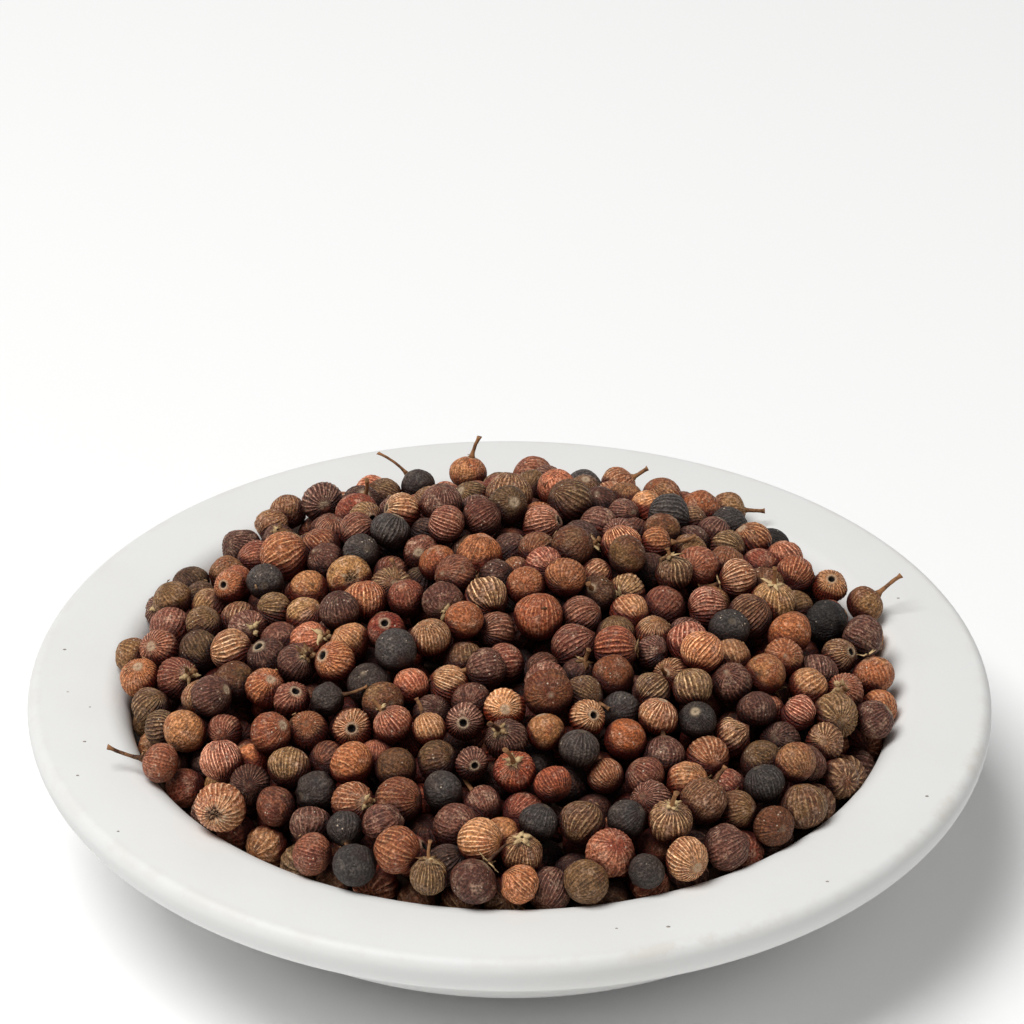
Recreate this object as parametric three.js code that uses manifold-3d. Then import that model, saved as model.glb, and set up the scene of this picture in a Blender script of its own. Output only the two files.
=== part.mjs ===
// Bowl of embelia berries: a shallow, wide-rimmed white dish heaped with small dried berries.
// Millimetres, +Z up. The origin lies on the standing surface, below the middle of the dish.

import * as THREE from 'three';
import { mergeVertices } from 'three/addons/utils/BufferGeometryUtils.js';
import Module from 'manifold-3d';

const wasm = await Module();
wasm.setup();

// ---- Dish: driving dimensions ----
const DISH_DIAMETER = 95;
const DISH_HEIGHT = 18;
const WELL_RADIUS = 37.4; // upper wall of the well, just below its rounded shoulder
const WELL_DEPTH = 14;
const WELL_FLOOR_RADIUS = 20; // where the flat floor turns up into the wall
const SHOULDER_ROUND = 2.7; // rounding between the flat rim and the well
const EDGE_ROUND_ACROSS = 1.2; // upper rounding of the rim's outer edge
const EDGE_ROUND_DROP = 1.3;
const UNDER_ROUND_ACROSS = 1.9; // lower, wider rounding below the widest line
const UNDER_ROUND_DROP = 2.6;
const WALL_THICKNESS = 3.4; // under the rim, between the well and the outside
const FOOT_RADIUS = 22;
const FOOT_WIDTH = 2.6;
const FOOT_HEIGHT = 1.4;
const FOOT_SLOPE = 0.6; // how far the foot ring widens towards the dish
const DISH_SEGMENTS = 64;
const ROUNDING_STEPS = 3; // straight steps along each rounding of the section

// ---- Heap: driving dimensions ----
const HEAP_EDGE_RISE = 0.9; // centres of the outermost berries above the rim
const HEAP_DOME_RISE = 6.8; // how much higher the top of the heap is than its edge
const HEAP_TOP_BACK = 10; // the top lies this far behind the middle
const HEAP_EDGE_INSET = 1.5; // the dome's edge lies this far inside the well's wall
const BERRY_DIAMETER = 3.95;
const BERRY_SPREAD = 0.25; // share of the random sum that is added to a radius
const BERRY_RADIUS_RANGE = [1.6, 2.45];
const BERRY_COUNT = 550; // loose berries in about two layers, besides the chosen ones
const CHOSEN_RISE = 1.2; // the chosen berries' centres above the heap's mean height
const HEAP_GAP = 0.3; // clearance between heap and dish
const CORE_SINK = 0.7; // how far the core's top lies below the centres of the berries around
const CORE_BLEND = 2; // distance over which those centres are averaged
const CORE_SEGMENTS = 24;
const CORE_RING_COUNT = 6;
const CUT_SEGMENTS = 32; // the cut that clears the dish has fewer sides than the dish
const SHOWN_DEPTH = 1.2; // berries with centres deeper than this belong to the lower layers
const SHOWN_COUNT = 236; // uppermost berries that are fused on, the most prominent first
const EDGE_BAND = 33; // berries further out than this count as more prominent, by EDGE_FAVOUR
const EDGE_FAVOUR = 0.7;
const CORNER_REACH = 1.02; // a berry's corners stand this share of its radius from its centre
const STALK_DIAMETER = 0.6;

// Chosen berries: place across the heap, diameter, and the stalk where one is long enough to
// stand clear: its heading in degrees from +X, its slope in degrees and its length.
const CHOSEN_BERRIES = [
  { at: [-12, -5.2], across: 3.7 }, // bright red, bored through
  { at: [0.5, -24.5], across: 4.0, stalk: [-100, 62, 3] }, // orange-red with a pale star
  { at: [4, -25.8], across: 3.6 }, // orange-red
  { at: [-3.2, -37.5], across: 4.4, stalk: [36, 42, 2.8] }, // large plum with a star
  { at: [-7.2, -36.9], across: 3.5, stalk: [90, 82, 1.6] }, // brown with a star
  { at: [6.5, -21.6], across: 3.9 }, // slate
  { at: [23.8, -23.2], across: 3.8 }, // slate
  { at: [17.8, -15.8], across: 3.6 }, // black with a pale scar
  { at: [-17.3, -13.4], across: 3.2, stalk: [8, 18, 2.4] }, // slate
  { at: [-24.4, 6.9], across: 3.8 }, // slate
  { at: [2.8, -30.2], across: 3.7 }, // slate
  { at: [10.8, -30], across: 3.6 }, // slate
  { at: [-14, -35], across: 4.0 }, // slate
  { at: [-15, -30.5], across: 3.5 }, // black
  { at: [21.5, -1.2], across: 4.1 }, // black
  { at: [12.5, -35.5], across: 3.3 }, // slate
  { at: [-4.2, -18.5], across: 3.7 }, // bored through
  { at: [-3.5, -23.5], across: 3.1 }, // bored through
  { at: [-14.8, -17.8], across: 3.7 }, // bored through
  { at: [-20.8, -12.7], across: 3.5 }, // bored through
  { at: [-16.8, -8.8], across: 4.1 }, // bored through
  { at: [-11, 17], across: 3.8 }, // bored through
  { at: [3.2, 15.5], across: 4.2 }, // bored through
  { at: [7.3, -17.8], across: 3.5 }, // bored through
  { at: [32.3, 12], across: 3.6 }, // bored through
  { at: [35.2, -9.8], across: 4.0 }, // bored through
  { at: [-28, 7.5], across: 3.3 }, // bored through
  { at: [-7.5, -19], across: 3.2, stalk: [130, 50, 1.6] }, // golden with a beak
  { at: [-3.2, 7.8], across: 4.7 }, // large brown
  { at: [-16, 6.5], across: 4.5 }, // pale and rough
  { at: [14.8, -30.2], across: 4.2, stalk: [-70, 80, 1.8] }, // pale with a star
  { at: [1.2, -33.9], across: 3.8 }, // pale with a star
  { at: [-4.5, 34.5], across: 4.0, stalk: [55, 70, 2.2] }, // stalk at the back
  { at: [-9.8, 31.2], across: 3.6, stalk: [150, 38, 3.6] }, // stalk at the back
  { at: [11.5, 34.8], across: 4.0, stalk: [10, 28, 1.6] }, // stalk to the right
  { at: [22.8, 29], across: 3.9, stalk: [0, 4, 2] }, // stalk to the right
  { at: [35.9, 10.8], across: 3.9, stalk: [25, 32, 2.8] }, // long stalk over the rim
  { at: [-33, -18], across: 3.8, stalk: [172, 10, 3.4] }, // long stalk over the rim
  { at: [14.7, 12.3], across: 3.4, stalk: [0, 6, 2.3] }, // stalk to the right
  { at: [-10.2, 1], across: 3.7, stalk: [125, 50, 2.4] }, // stalk upwards
  { at: [22.8, 8.2], across: 4.0, stalk: [195, -8, 2.2] }, // stalk to the left
  { at: [-26.8, -26.2], across: 4.7 }, // large and torn
  { at: [-27, -20.2], across: 4.0 }, // pale stripes
  { at: [-18, -32.8], across: 4.0 }, // red-brown
  { at: [-14.2, 1.5], across: 4.3 }, // orange stripes
  { at: [2.8, -2.5], across: 4.8 }, // large and smooth
  { at: [-6.5, -0.8], across: 4.2 }, // star below
  { at: [-2.2, -10.2], across: 4.1, stalk: [184, -2, 2.4] }, // stalk to the left
  { at: [-12, -14.8], across: 4.2 }, // dark and grainy
  { at: [1, -37.5], across: 3.6 }, // pale
  { at: [14, -16.2], across: 3.9 }, // pale scar
  { at: [18, -26.8], across: 4.2, stalk: [45, 40, 1.6] }, // stalk to the right
  { at: [16.2, -34], across: 4.1 }, // pale stripes
  { at: [27.5, 0], across: 4.6 }, // large and grainy
  { at: [11.1, 11.2], across: 4.1 }, // orange stripes
  { at: [16.2, 20.2], across: 4.6 }, // dark and wrinkled
  { at: [-0.2, 21.8], across: 4.9 }, // large olive
  { at: [-22.8, 12], across: 5.0 }, // large brown
  { at: [-27.2, -3.2], across: 4.2, stalk: [5, 8, 2] }, // stalk to the right
  { at: [-36.2, -3.8], across: 3.9 }, // orange with a scar
  { at: [35, 2.8], across: 4.2 }, // red-brown
  { at: [10.2, -6.8], across: 4.2 }, // red with a star
  { at: [-37.4, 1], across: 3.6 }, // the one furthest to the left
];

// ---- Settling of the loose berries ----
const SEED = 7;
const GOLDEN_ANGLE = 2.399963;
const SETTLE_STEPS = 160;
const SETTLE_ROUNDS = 3;
const PULL = 0.14; // first pull down per step, which falls to LATE_PULL
const LATE_PULL = 0.05;
const EARLY_SHARE = 0.6; // share of the steps with the first pull
const FLOOR_DEPTH = 5.4; // the lowest layer rests this far below the heap's height
const PUSH = 0.42; // share of an overlap that each of two berries gives way
const PAIR_REACH = 1.6; // slack within which two berries count as neighbours
const PAIR_STEPS = 8; // steps between two searches for neighbours
const LID = 2; // no centre rises further than this above the heap's height
const DISH_CLEARANCE = 0.1;
const HEAP_REACH = 37.7; // greatest distance of a berry's centre from the middle
const UNDER_CHOSEN = 0.8; // loose berries start below a chosen one within this share

/**
 * Makes a repeatable source of numbers between 0 and 1.
 * @param {number} seed whole number that sets the sequence
 * @returns {function(): number}
 */
function randomNumbers(seed) {
  let state = seed;
  return () => {
    state = (state * 1664525 + 1013904223) % 4294967296;
    return state / 4294967296;
  };
}

/** Mean height of the uppermost berries' centres at a place across the heap. */
function heapHeight(x, y) {
  const edge = WELL_RADIUS - HEAP_EDGE_INSET;
  const back = y - HEAP_TOP_BACK;
  const distance = Math.hypot(x, back) + 1e-9;
  const along = (HEAP_TOP_BACK * back) / distance;
  const reach = -along + Math.sqrt(along * along - HEAP_TOP_BACK * HEAP_TOP_BACK + edge * edge);
  const share = distance / reach;
  const swell =
    0.55 * Math.sin(0.21 * x + 0.9) * Math.sin(0.25 * y + 0.4) +
    0.35 * Math.sin(0.13 * x - 0.34 * y + 2.2);
  return DISH_HEIGHT + HEAP_EDGE_RISE + HEAP_DOME_RISE * (1 - share * share) + swell;
}

/** Height that the lowest layer of berries rests on. */
function floorHeight(x, y) {
  const waves =
    0.5 * Math.sin(0.33 * x + 1.1) * Math.sin(0.29 * y - 0.4) +
    0.4 * Math.sin(0.19 * x - 0.31 * y + 2);
  return heapHeight(x, y) - FLOOR_DEPTH + waves;
}

/** Upward normal of the heap's mean surface. */
function heapNormal(x, y) {
  const step = 0.05;
  const slopeX = (heapHeight(x + step, y) - heapHeight(x - step, y)) / (2 * step);
  const slopeY = (heapHeight(x, y + step) - heapHeight(x, y - step)) / (2 * step);
  return new THREE.Vector3(-slopeX, -slopeY, 1).normalize();
}

/** Places the chosen berries, then the loose ones on a sunflower spiral in a thick layer. */
function startingBerries() {
  const random = randomNumbers(SEED);
  const chosen = CHOSEN_BERRIES.map(({ at: [x, y], across, stalk }) => ({
    at: new THREE.Vector3(x, y, heapHeight(x, y) + CHOSEN_RISE),
    radius: across / 2,
    fixed: true,
    stalk,
  }));
  for (const berry of chosen) {
    keepOffDish(berry);
    keepInOutline(berry);
  }
  const loose = [];
  for (let i = 0; i < BERRY_COUNT; i += 1) {
    const out = (WELL_RADIUS - 2) * Math.sqrt((i + 0.5) / BERRY_COUNT);
    const x = out * Math.cos(i * GOLDEN_ANGLE) + 1.5 * (random() - 0.5);
    const y = out * Math.sin(i * GOLDEN_ANGLE) + 1.5 * (random() - 0.5);
    const sum = random() + random() + random() + random() - 2;
    const radius = THREE.MathUtils.clamp(
      BERRY_DIAMETER / 2 + BERRY_SPREAD * sum, ...BERRY_RADIUS_RANGE);
    const layer = 6 * random();
    const covered = chosen.some((berry) =>
      Math.hypot(berry.at.x - x, berry.at.y - y) < UNDER_CHOSEN * (berry.radius + radius));
    const z = heapHeight(x, y) - FLOOR_DEPTH + (covered ? 0 : 2 + layer);
    loose.push({ at: new THREE.Vector3(x, y, z), radius, fixed: false });
  }
  return [...chosen, ...loose];
}

/** Lists the pairs of berries that are near enough to touch soon. */
function nearPairs(berries) {
  const pairs = [];
  berries.forEach((one, i) => {
    for (const other of berries.slice(i + 1)) {
      if (one.at.distanceTo(other.at) < one.radius + other.radius + PAIR_REACH) {
        pairs.push([one, other]);
      }
    }
  });
  return pairs;
}

/** Pushes overlapping berries apart, all by the places that they had at the start. */
function pushApart(berries, pairs) {
  berries.forEach((berry) => berry.move.set(0, 0, 0));
  const between = new THREE.Vector3();
  for (const [one, other] of pairs) {
    between.subVectors(one.at, other.at);
    const distance = between.length() + 1e-9;
    const overlap = one.radius + other.radius - distance;
    if (overlap <= 0) continue;
    between.multiplyScalar((overlap * PUSH) / distance);
    one.move.addScaledVector(between, other.fixed ? 2 : 1);
    other.move.addScaledVector(between, one.fixed ? -2 : -1);
  }
  berries.filter((berry) => !berry.fixed).forEach((berry) => berry.at.add(berry.move));
}

/** Keeps a berry between the floor under the heap and the lid over it. */
function keepInLayer(berry, normal) {
  const { at, radius } = berry;
  const gap = (at.z - floorHeight(at.x, at.y)) * normal.z - radius;
  if (gap < 0) at.addScaledVector(normal, -gap);
  at.z = Math.min(at.z, heapHeight(at.x, at.y) + LID);
}

/** Keeps a berry off the well's wall, the rounded shoulder and the flat rim. */
function keepOffDish(berry) {
  const { at, radius } = berry;
  const out = Math.hypot(at.x, at.y) + 1e-9;
  const inward = Math.max(WELL_RADIUS + SHOULDER_ROUND - out, 0);
  const above = Math.max(at.z - (DISH_HEIGHT - SHOULDER_ROUND), 0);
  const distance = Math.hypot(inward, above);
  const push = radius + DISH_CLEARANCE + SHOULDER_ROUND - distance;
  if (push <= 0) return;
  const across = (push * inward) / distance / out;
  at.x -= at.x * across;
  at.y -= at.y * across;
  at.z += (push * above) / distance;
}

/** Keeps a berry's centre within the heap's outline. */
function keepInOutline(berry) {
  const share = Math.min(1, HEAP_REACH / Math.hypot(berry.at.x, berry.at.y, 1e-9));
  berry.at.x *= share;
  berry.at.y *= share;
}

/** Settles the loose berries under a steady pull until they lie in layers on one another. */
function settledBerries() {
  const berries = startingBerries().map((berry) => ({ ...berry, move: new THREE.Vector3() }));
  const loose = berries.filter((berry) => !berry.fixed);
  let pairs = [];
  for (let step = 0; step < SETTLE_STEPS; step += 1) {
    if (step % PAIR_STEPS === 0) pairs = nearPairs(berries);
    const pull = step < SETTLE_STEPS * EARLY_SHARE ? PULL : LATE_PULL;
    for (const berry of loose) {
      berry.normal = heapNormal(berry.at.x, berry.at.y);
      berry.at.addScaledVector(berry.normal, -pull);
    }
    for (let round = 0; round < SETTLE_ROUNDS; round += 1) {
      pushApart(berries, pairs);
      for (const berry of loose) {
        keepInLayer(berry, berry.normal);
        keepOffDish(berry);
        keepInOutline(berry);
      }
    }
  }
  return berries;
}

/** Turns a closed geometry into a solid that can be joined and cut. */
function asSolid(geometry) {
  const bare = geometry.clone();
  bare.deleteAttribute('normal');
  bare.deleteAttribute('uv');
  const merged = mergeVertices(bare);
  const corners = merged.index.array;
  const kept = [];
  for (let i = 0; i < corners.length; i += 3) {
    const [a, b, c] = corners.slice(i, i + 3);
    if (a !== b && b !== c && c !== a) kept.push(a, b, c);
  }
  return new wasm.Manifold(new wasm.Mesh({
    numProp: 3,
    vertProperties: new Float32Array(merged.attributes.position.array),
    triVerts: new Uint32Array(kept),
  }));
}

/** Turns a joined solid back into a geometry. */
function asGeometry(solid) {
  const { vertProperties, triVerts } = solid.getMesh();
  const geometry = new THREE.BufferGeometry();
  geometry.setAttribute('position', new THREE.BufferAttribute(vertProperties, 3));
  geometry.setIndex(new THREE.BufferAttribute(triVerts, 1));
  geometry.computeVertexNormals();
  return geometry;
}

/** Revolves a profile of (radius, height) points round the upright axis. */
function revolved(points, segments) {
  return new THREE.LatheGeometry(points, segments).rotateX(Math.PI / 2);
}

/** Adds a quarter of an ellipse to a path, from where it is, round a corner, to an end. */
function quarterRound(path, corner, end) {
  const handle = 0.5523;
  const start = path.currentPoint.clone();
  const first = start.clone().lerp(corner, handle);
  const second = end.clone().lerp(corner, handle);
  path.bezierCurveTo(first.x, first.y, second.x, second.y, end.x, end.y);
}

/**
 * The dish's section from the axis below, round the rim, to the axis in the well.
 * @param {number} grown how far the inner surfaces and the rim's top stand out from the real ones
 * @returns {THREE.Vector2[]}
 */
function dishSection(grown) {
  const outer = DISH_DIAMETER / 2;
  const top = DISH_HEIGHT + grown;
  const under = DISH_HEIGHT - EDGE_ROUND_DROP - UNDER_ROUND_DROP;
  const wall = WELL_RADIUS - grown;
  const floor = DISH_HEIGHT - WELL_DEPTH + grown;
  const footTop = new THREE.Vector2(FOOT_RADIUS + FOOT_SLOPE, FOOT_HEIGHT);
  const wallTop = new THREE.Vector2(WELL_RADIUS + WALL_THICKNESS, under);
  const path = new THREE.Path();
  path.moveTo(0, FOOT_HEIGHT);
  path.lineTo(FOOT_RADIUS - FOOT_WIDTH - FOOT_SLOPE, FOOT_HEIGHT);
  path.lineTo(FOOT_RADIUS - FOOT_WIDTH, 0);
  path.lineTo(FOOT_RADIUS, 0);
  path.lineTo(footTop.x, footTop.y);
  quarterRound(path, new THREE.Vector2(wallTop.x, footTop.y), wallTop);
  path.lineTo(outer - UNDER_ROUND_ACROSS, under);
  const widest = new THREE.Vector2(outer, DISH_HEIGHT - EDGE_ROUND_DROP);
  quarterRound(path, new THREE.Vector2(outer, under), widest);
  quarterRound(path, new THREE.Vector2(outer, top), new THREE.Vector2(outer - EDGE_ROUND_ACROSS, top));
  path.lineTo(WELL_RADIUS + SHOULDER_ROUND, top);
  const shoulderEnd = new THREE.Vector2(wall, DISH_HEIGHT - SHOULDER_ROUND);
  quarterRound(path, new THREE.Vector2(wall, top), shoulderEnd);
  quarterRound(path, new THREE.Vector2(wall, floor), new THREE.Vector2(WELL_FLOOR_RADIUS, floor));
  path.lineTo(0, floor);
  return path.getPoints(ROUNDING_STEPS);
}

/** Mean height of the centres of the berries close to a place. */
function meanHeight(x, y, berries) {
  let total = 0;
  let weights = 0;
  for (const { at } of berries) {
    const weight = Math.exp(-((at.x - x) ** 2 + (at.y - y) ** 2) / (2 * CORE_BLEND ** 2));
    total += weight * at.z;
    weights += weight;
  }
  return total / weights;
}

/** The uppermost berries, the chosen ones and those that stand out most from their neighbours. */
function shownBerries() {
  const upper = settledBerries().filter(({ at }) => at.z > heapHeight(at.x, at.y) - SHOWN_DEPTH);
  const ranked = upper.map((berry) => {
    const { at, radius, fixed } = berry;
    const favour = Math.hypot(at.x, at.y) > EDGE_BAND ? EDGE_FAVOUR : 0;
    const standing = at.z + radius - meanHeight(at.x, at.y, upper) + favour;
    return { ...berry, standing: fixed ? Infinity : standing };
  });
  return ranked.sort((one, other) => other.standing - one.standing).slice(0, SHOWN_COUNT);
}

/** The heap's core: a plug in the well under a dome that follows the berries. */
function coreSolid(berries) {
  const radius = WELL_RADIUS - HEAP_GAP / 2;
  const base = DISH_HEIGHT - WELL_DEPTH;
  const points = [new THREE.Vector2(0, base), new THREE.Vector2(radius, base)];
  for (let ring = CORE_RING_COUNT; ring >= 0; ring -= 1) {
    points.push(new THREE.Vector2((radius * ring) / CORE_RING_COUNT, DISH_HEIGHT));
  }
  const geometry = revolved(points, CORE_SEGMENTS);
  const places = geometry.attributes.position;
  for (let i = 0; i < places.count; i += 1) {
    if (places.getZ(i) < DISH_HEIGHT - 1) continue;
    places.setZ(i, meanHeight(places.getX(i), places.getY(i), berries) - CORE_SINK);
  }
  return asSolid(geometry);
}

/** A berry with few sides and the true volume, standing on one corner. */
function berrySolid(berry, turn) {
  const cornerRadius = CORNER_REACH * berry.radius;
  const tilt = Math.atan(2 / (1 + Math.sqrt(5)));
  const geometry = new THREE.IcosahedronGeometry(cornerRadius).rotateX(-tilt).rotateZ(turn);
  return asSolid(geometry.translate(berry.at.x, berry.at.y, berry.at.z));
}

/** A straight stalk that starts inside its berry. */
function stalkSolid(berry) {
  const [heading, slope, length] = berry.stalk;
  const height = berry.radius + length;
  const geometry = new THREE.CylinderGeometry(STALK_DIAMETER / 2, STALK_DIAMETER / 2, height, 5)
    .translate(0, height / 2, 0)
    .rotateX(Math.PI / 2)
    .rotateY(THREE.MathUtils.degToRad(90 - slope))
    .rotateZ(THREE.MathUtils.degToRad(heading))
    .translate(berry.at.x, berry.at.y, berry.at.z);
  return asSolid(geometry);
}

/** Joins the core, the berries that show and their stalks, clear of the dish. */
function heapGeometry() {
  const shown = shownBerries();
  let heap = coreSolid(shown);
  shown.forEach((berry, i) => {
    heap = heap.add(berrySolid(berry, i * GOLDEN_ANGLE));
    if (berry.stalk) heap = heap.add(stalkSolid(berry));
  });
  const cut = asSolid(revolved(dishSection(HEAP_GAP), CUT_SEGMENTS));
  const clear = heap.subtract(cut);
  const parts = clear.decompose().sort((one, other) => other.volume() - one.volume());
  return asGeometry(parts[0]);
}

/** A named part of the bowl in its own material. */
function part(name, geometry, material) {
  const mesh = new THREE.Mesh(geometry, new THREE.MeshStandardMaterial(material));
  mesh.name = name;
  return mesh;
}

const bowlOfBerries = new THREE.Group();
bowlOfBerries.add(
  part('bowl', asGeometry(asSolid(revolved(dishSection(0), DISH_SEGMENTS))), {
    color: '#e8e7e3',
    roughness: 0.55,
    metalness: 0,
  }),
  part('berry_heap', heapGeometry(), {
    color: '#6b4632',
    roughness: 0.75,
    metalness: 0,
  }),
);

export default bowlOfBerries;
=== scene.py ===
"""Bowl of embelia berries: a shallow white dish heaped with dried, ridged berries.

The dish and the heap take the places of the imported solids. The heap is settled by the same rule
as its solid, so its sizes are millimetres here too, and become metres where a mesh is made.
"""

import logging
import math
from collections.abc import Iterable, Sequence
from dataclasses import dataclass, field
from enum import Enum
from functools import cache
from typing import Any, Union

import bpy
import numpy as np
from mathutils import Matrix, Vector


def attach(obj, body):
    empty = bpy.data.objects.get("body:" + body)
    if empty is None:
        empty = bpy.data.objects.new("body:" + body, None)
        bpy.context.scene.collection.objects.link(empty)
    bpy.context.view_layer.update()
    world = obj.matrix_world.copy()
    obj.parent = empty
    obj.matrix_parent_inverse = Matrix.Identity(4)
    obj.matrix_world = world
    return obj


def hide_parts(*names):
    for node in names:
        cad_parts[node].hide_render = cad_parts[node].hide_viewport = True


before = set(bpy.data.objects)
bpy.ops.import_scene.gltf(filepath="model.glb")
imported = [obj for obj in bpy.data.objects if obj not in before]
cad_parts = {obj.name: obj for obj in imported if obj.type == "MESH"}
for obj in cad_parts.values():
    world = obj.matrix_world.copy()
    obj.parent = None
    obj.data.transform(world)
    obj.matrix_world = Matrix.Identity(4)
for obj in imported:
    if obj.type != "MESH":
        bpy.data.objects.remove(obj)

log = logging.getLogger("bowl_of_berries")

MM = 0.001
BODY = "root"
DISH_NODE = "bowl"
HEAP_NODE = "berry_heap"
ANY_TURN = (0.0, 6.28)  # range of a drawn turn, in radians
TINY = 1e-9  # added to a length that is divided by, so that it is never 0

Colour = tuple[float, float, float, float]
Number = Union[float, "Shade"]


def tint(red: int, green: int, blue: int) -> Colour:
    """Turns a screen colour of 0 to 255 into the linear colour that a shader takes.

    Args:
        red: Screen value of red.
        green: Screen value of green.
        blue: Screen value of blue.

    Returns:
        The linear colour with an alpha of 1.
    """
    def linear(value: int) -> float:
        """Linear share of one screen value."""
        share = value / 255
        return share / 12.92 if share <= 0.04045 else ((share + 0.055) / 1.055) ** 2.4

    return (linear(red), linear(green), linear(blue), 1.0)


def placed(name: str, data: bpy.types.ID) -> bpy.types.Object:
    """Puts a mesh, a camera or a light into the scene.

    Args:
        name: Name of the new object.
        data: The mesh, camera or light.

    Returns:
        The new object.
    """
    made = bpy.data.objects.new(name, data)
    bpy.context.scene.collection.objects.link(made)
    return made


# ---------------------------------------------------------------------------------------------
# Shader graphs
# ---------------------------------------------------------------------------------------------


class Shade:
    """One output of a shader node, on which Python arithmetic adds Math nodes."""

    def __init__(self, graph: "Graph", socket: bpy.types.NodeSocket) -> None:
        """Wraps a socket.

        Args:
            graph: Graph that the socket belongs to.
            socket: Output socket to wrap.
        """
        self.graph = graph
        self.socket = socket

    def __add__(self, other: Number) -> "Shade":
        """Sum."""
        return self.graph.math("ADD", self, other)

    __radd__ = __add__

    def __sub__(self, other: Number) -> "Shade":
        """Difference."""
        return self.graph.math("SUBTRACT", self, other)

    def __rsub__(self, other: Number) -> "Shade":
        """Difference from a number."""
        return self.graph.math("SUBTRACT", other, self)

    def __mul__(self, other: Number) -> "Shade":
        """Product."""
        return self.graph.math("MULTIPLY", self, other)

    __rmul__ = __mul__

    def __truediv__(self, other: Number) -> "Shade":
        """Quotient."""
        return self.graph.math("DIVIDE", self, other)

    def __pow__(self, other: Number) -> "Shade":
        """Power."""
        return self.graph.math("POWER", self, other)

    def cosine(self) -> "Shade":
        """Cosine of an angle in radians."""
        return self.graph.math("COSINE", self)

    def sine(self) -> "Shade":
        """Sine of an angle in radians."""
        return self.graph.math("SINE", self)

    def ramp(self, low: float, high: float) -> "Shade":
        """Smooth step from 0 at low to 1 at high.

        Args:
            low: Value that gives 0.
            high: Value that gives 1.

        Returns:
            The stepped value.
        """
        settings = {"interpolation_type": "SMOOTHSTEP"}
        made = self.graph.node("ShaderNodeMapRange", settings, {0: self, 1: low, 2: high})
        return Shade(self.graph, made.outputs[0])


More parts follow.
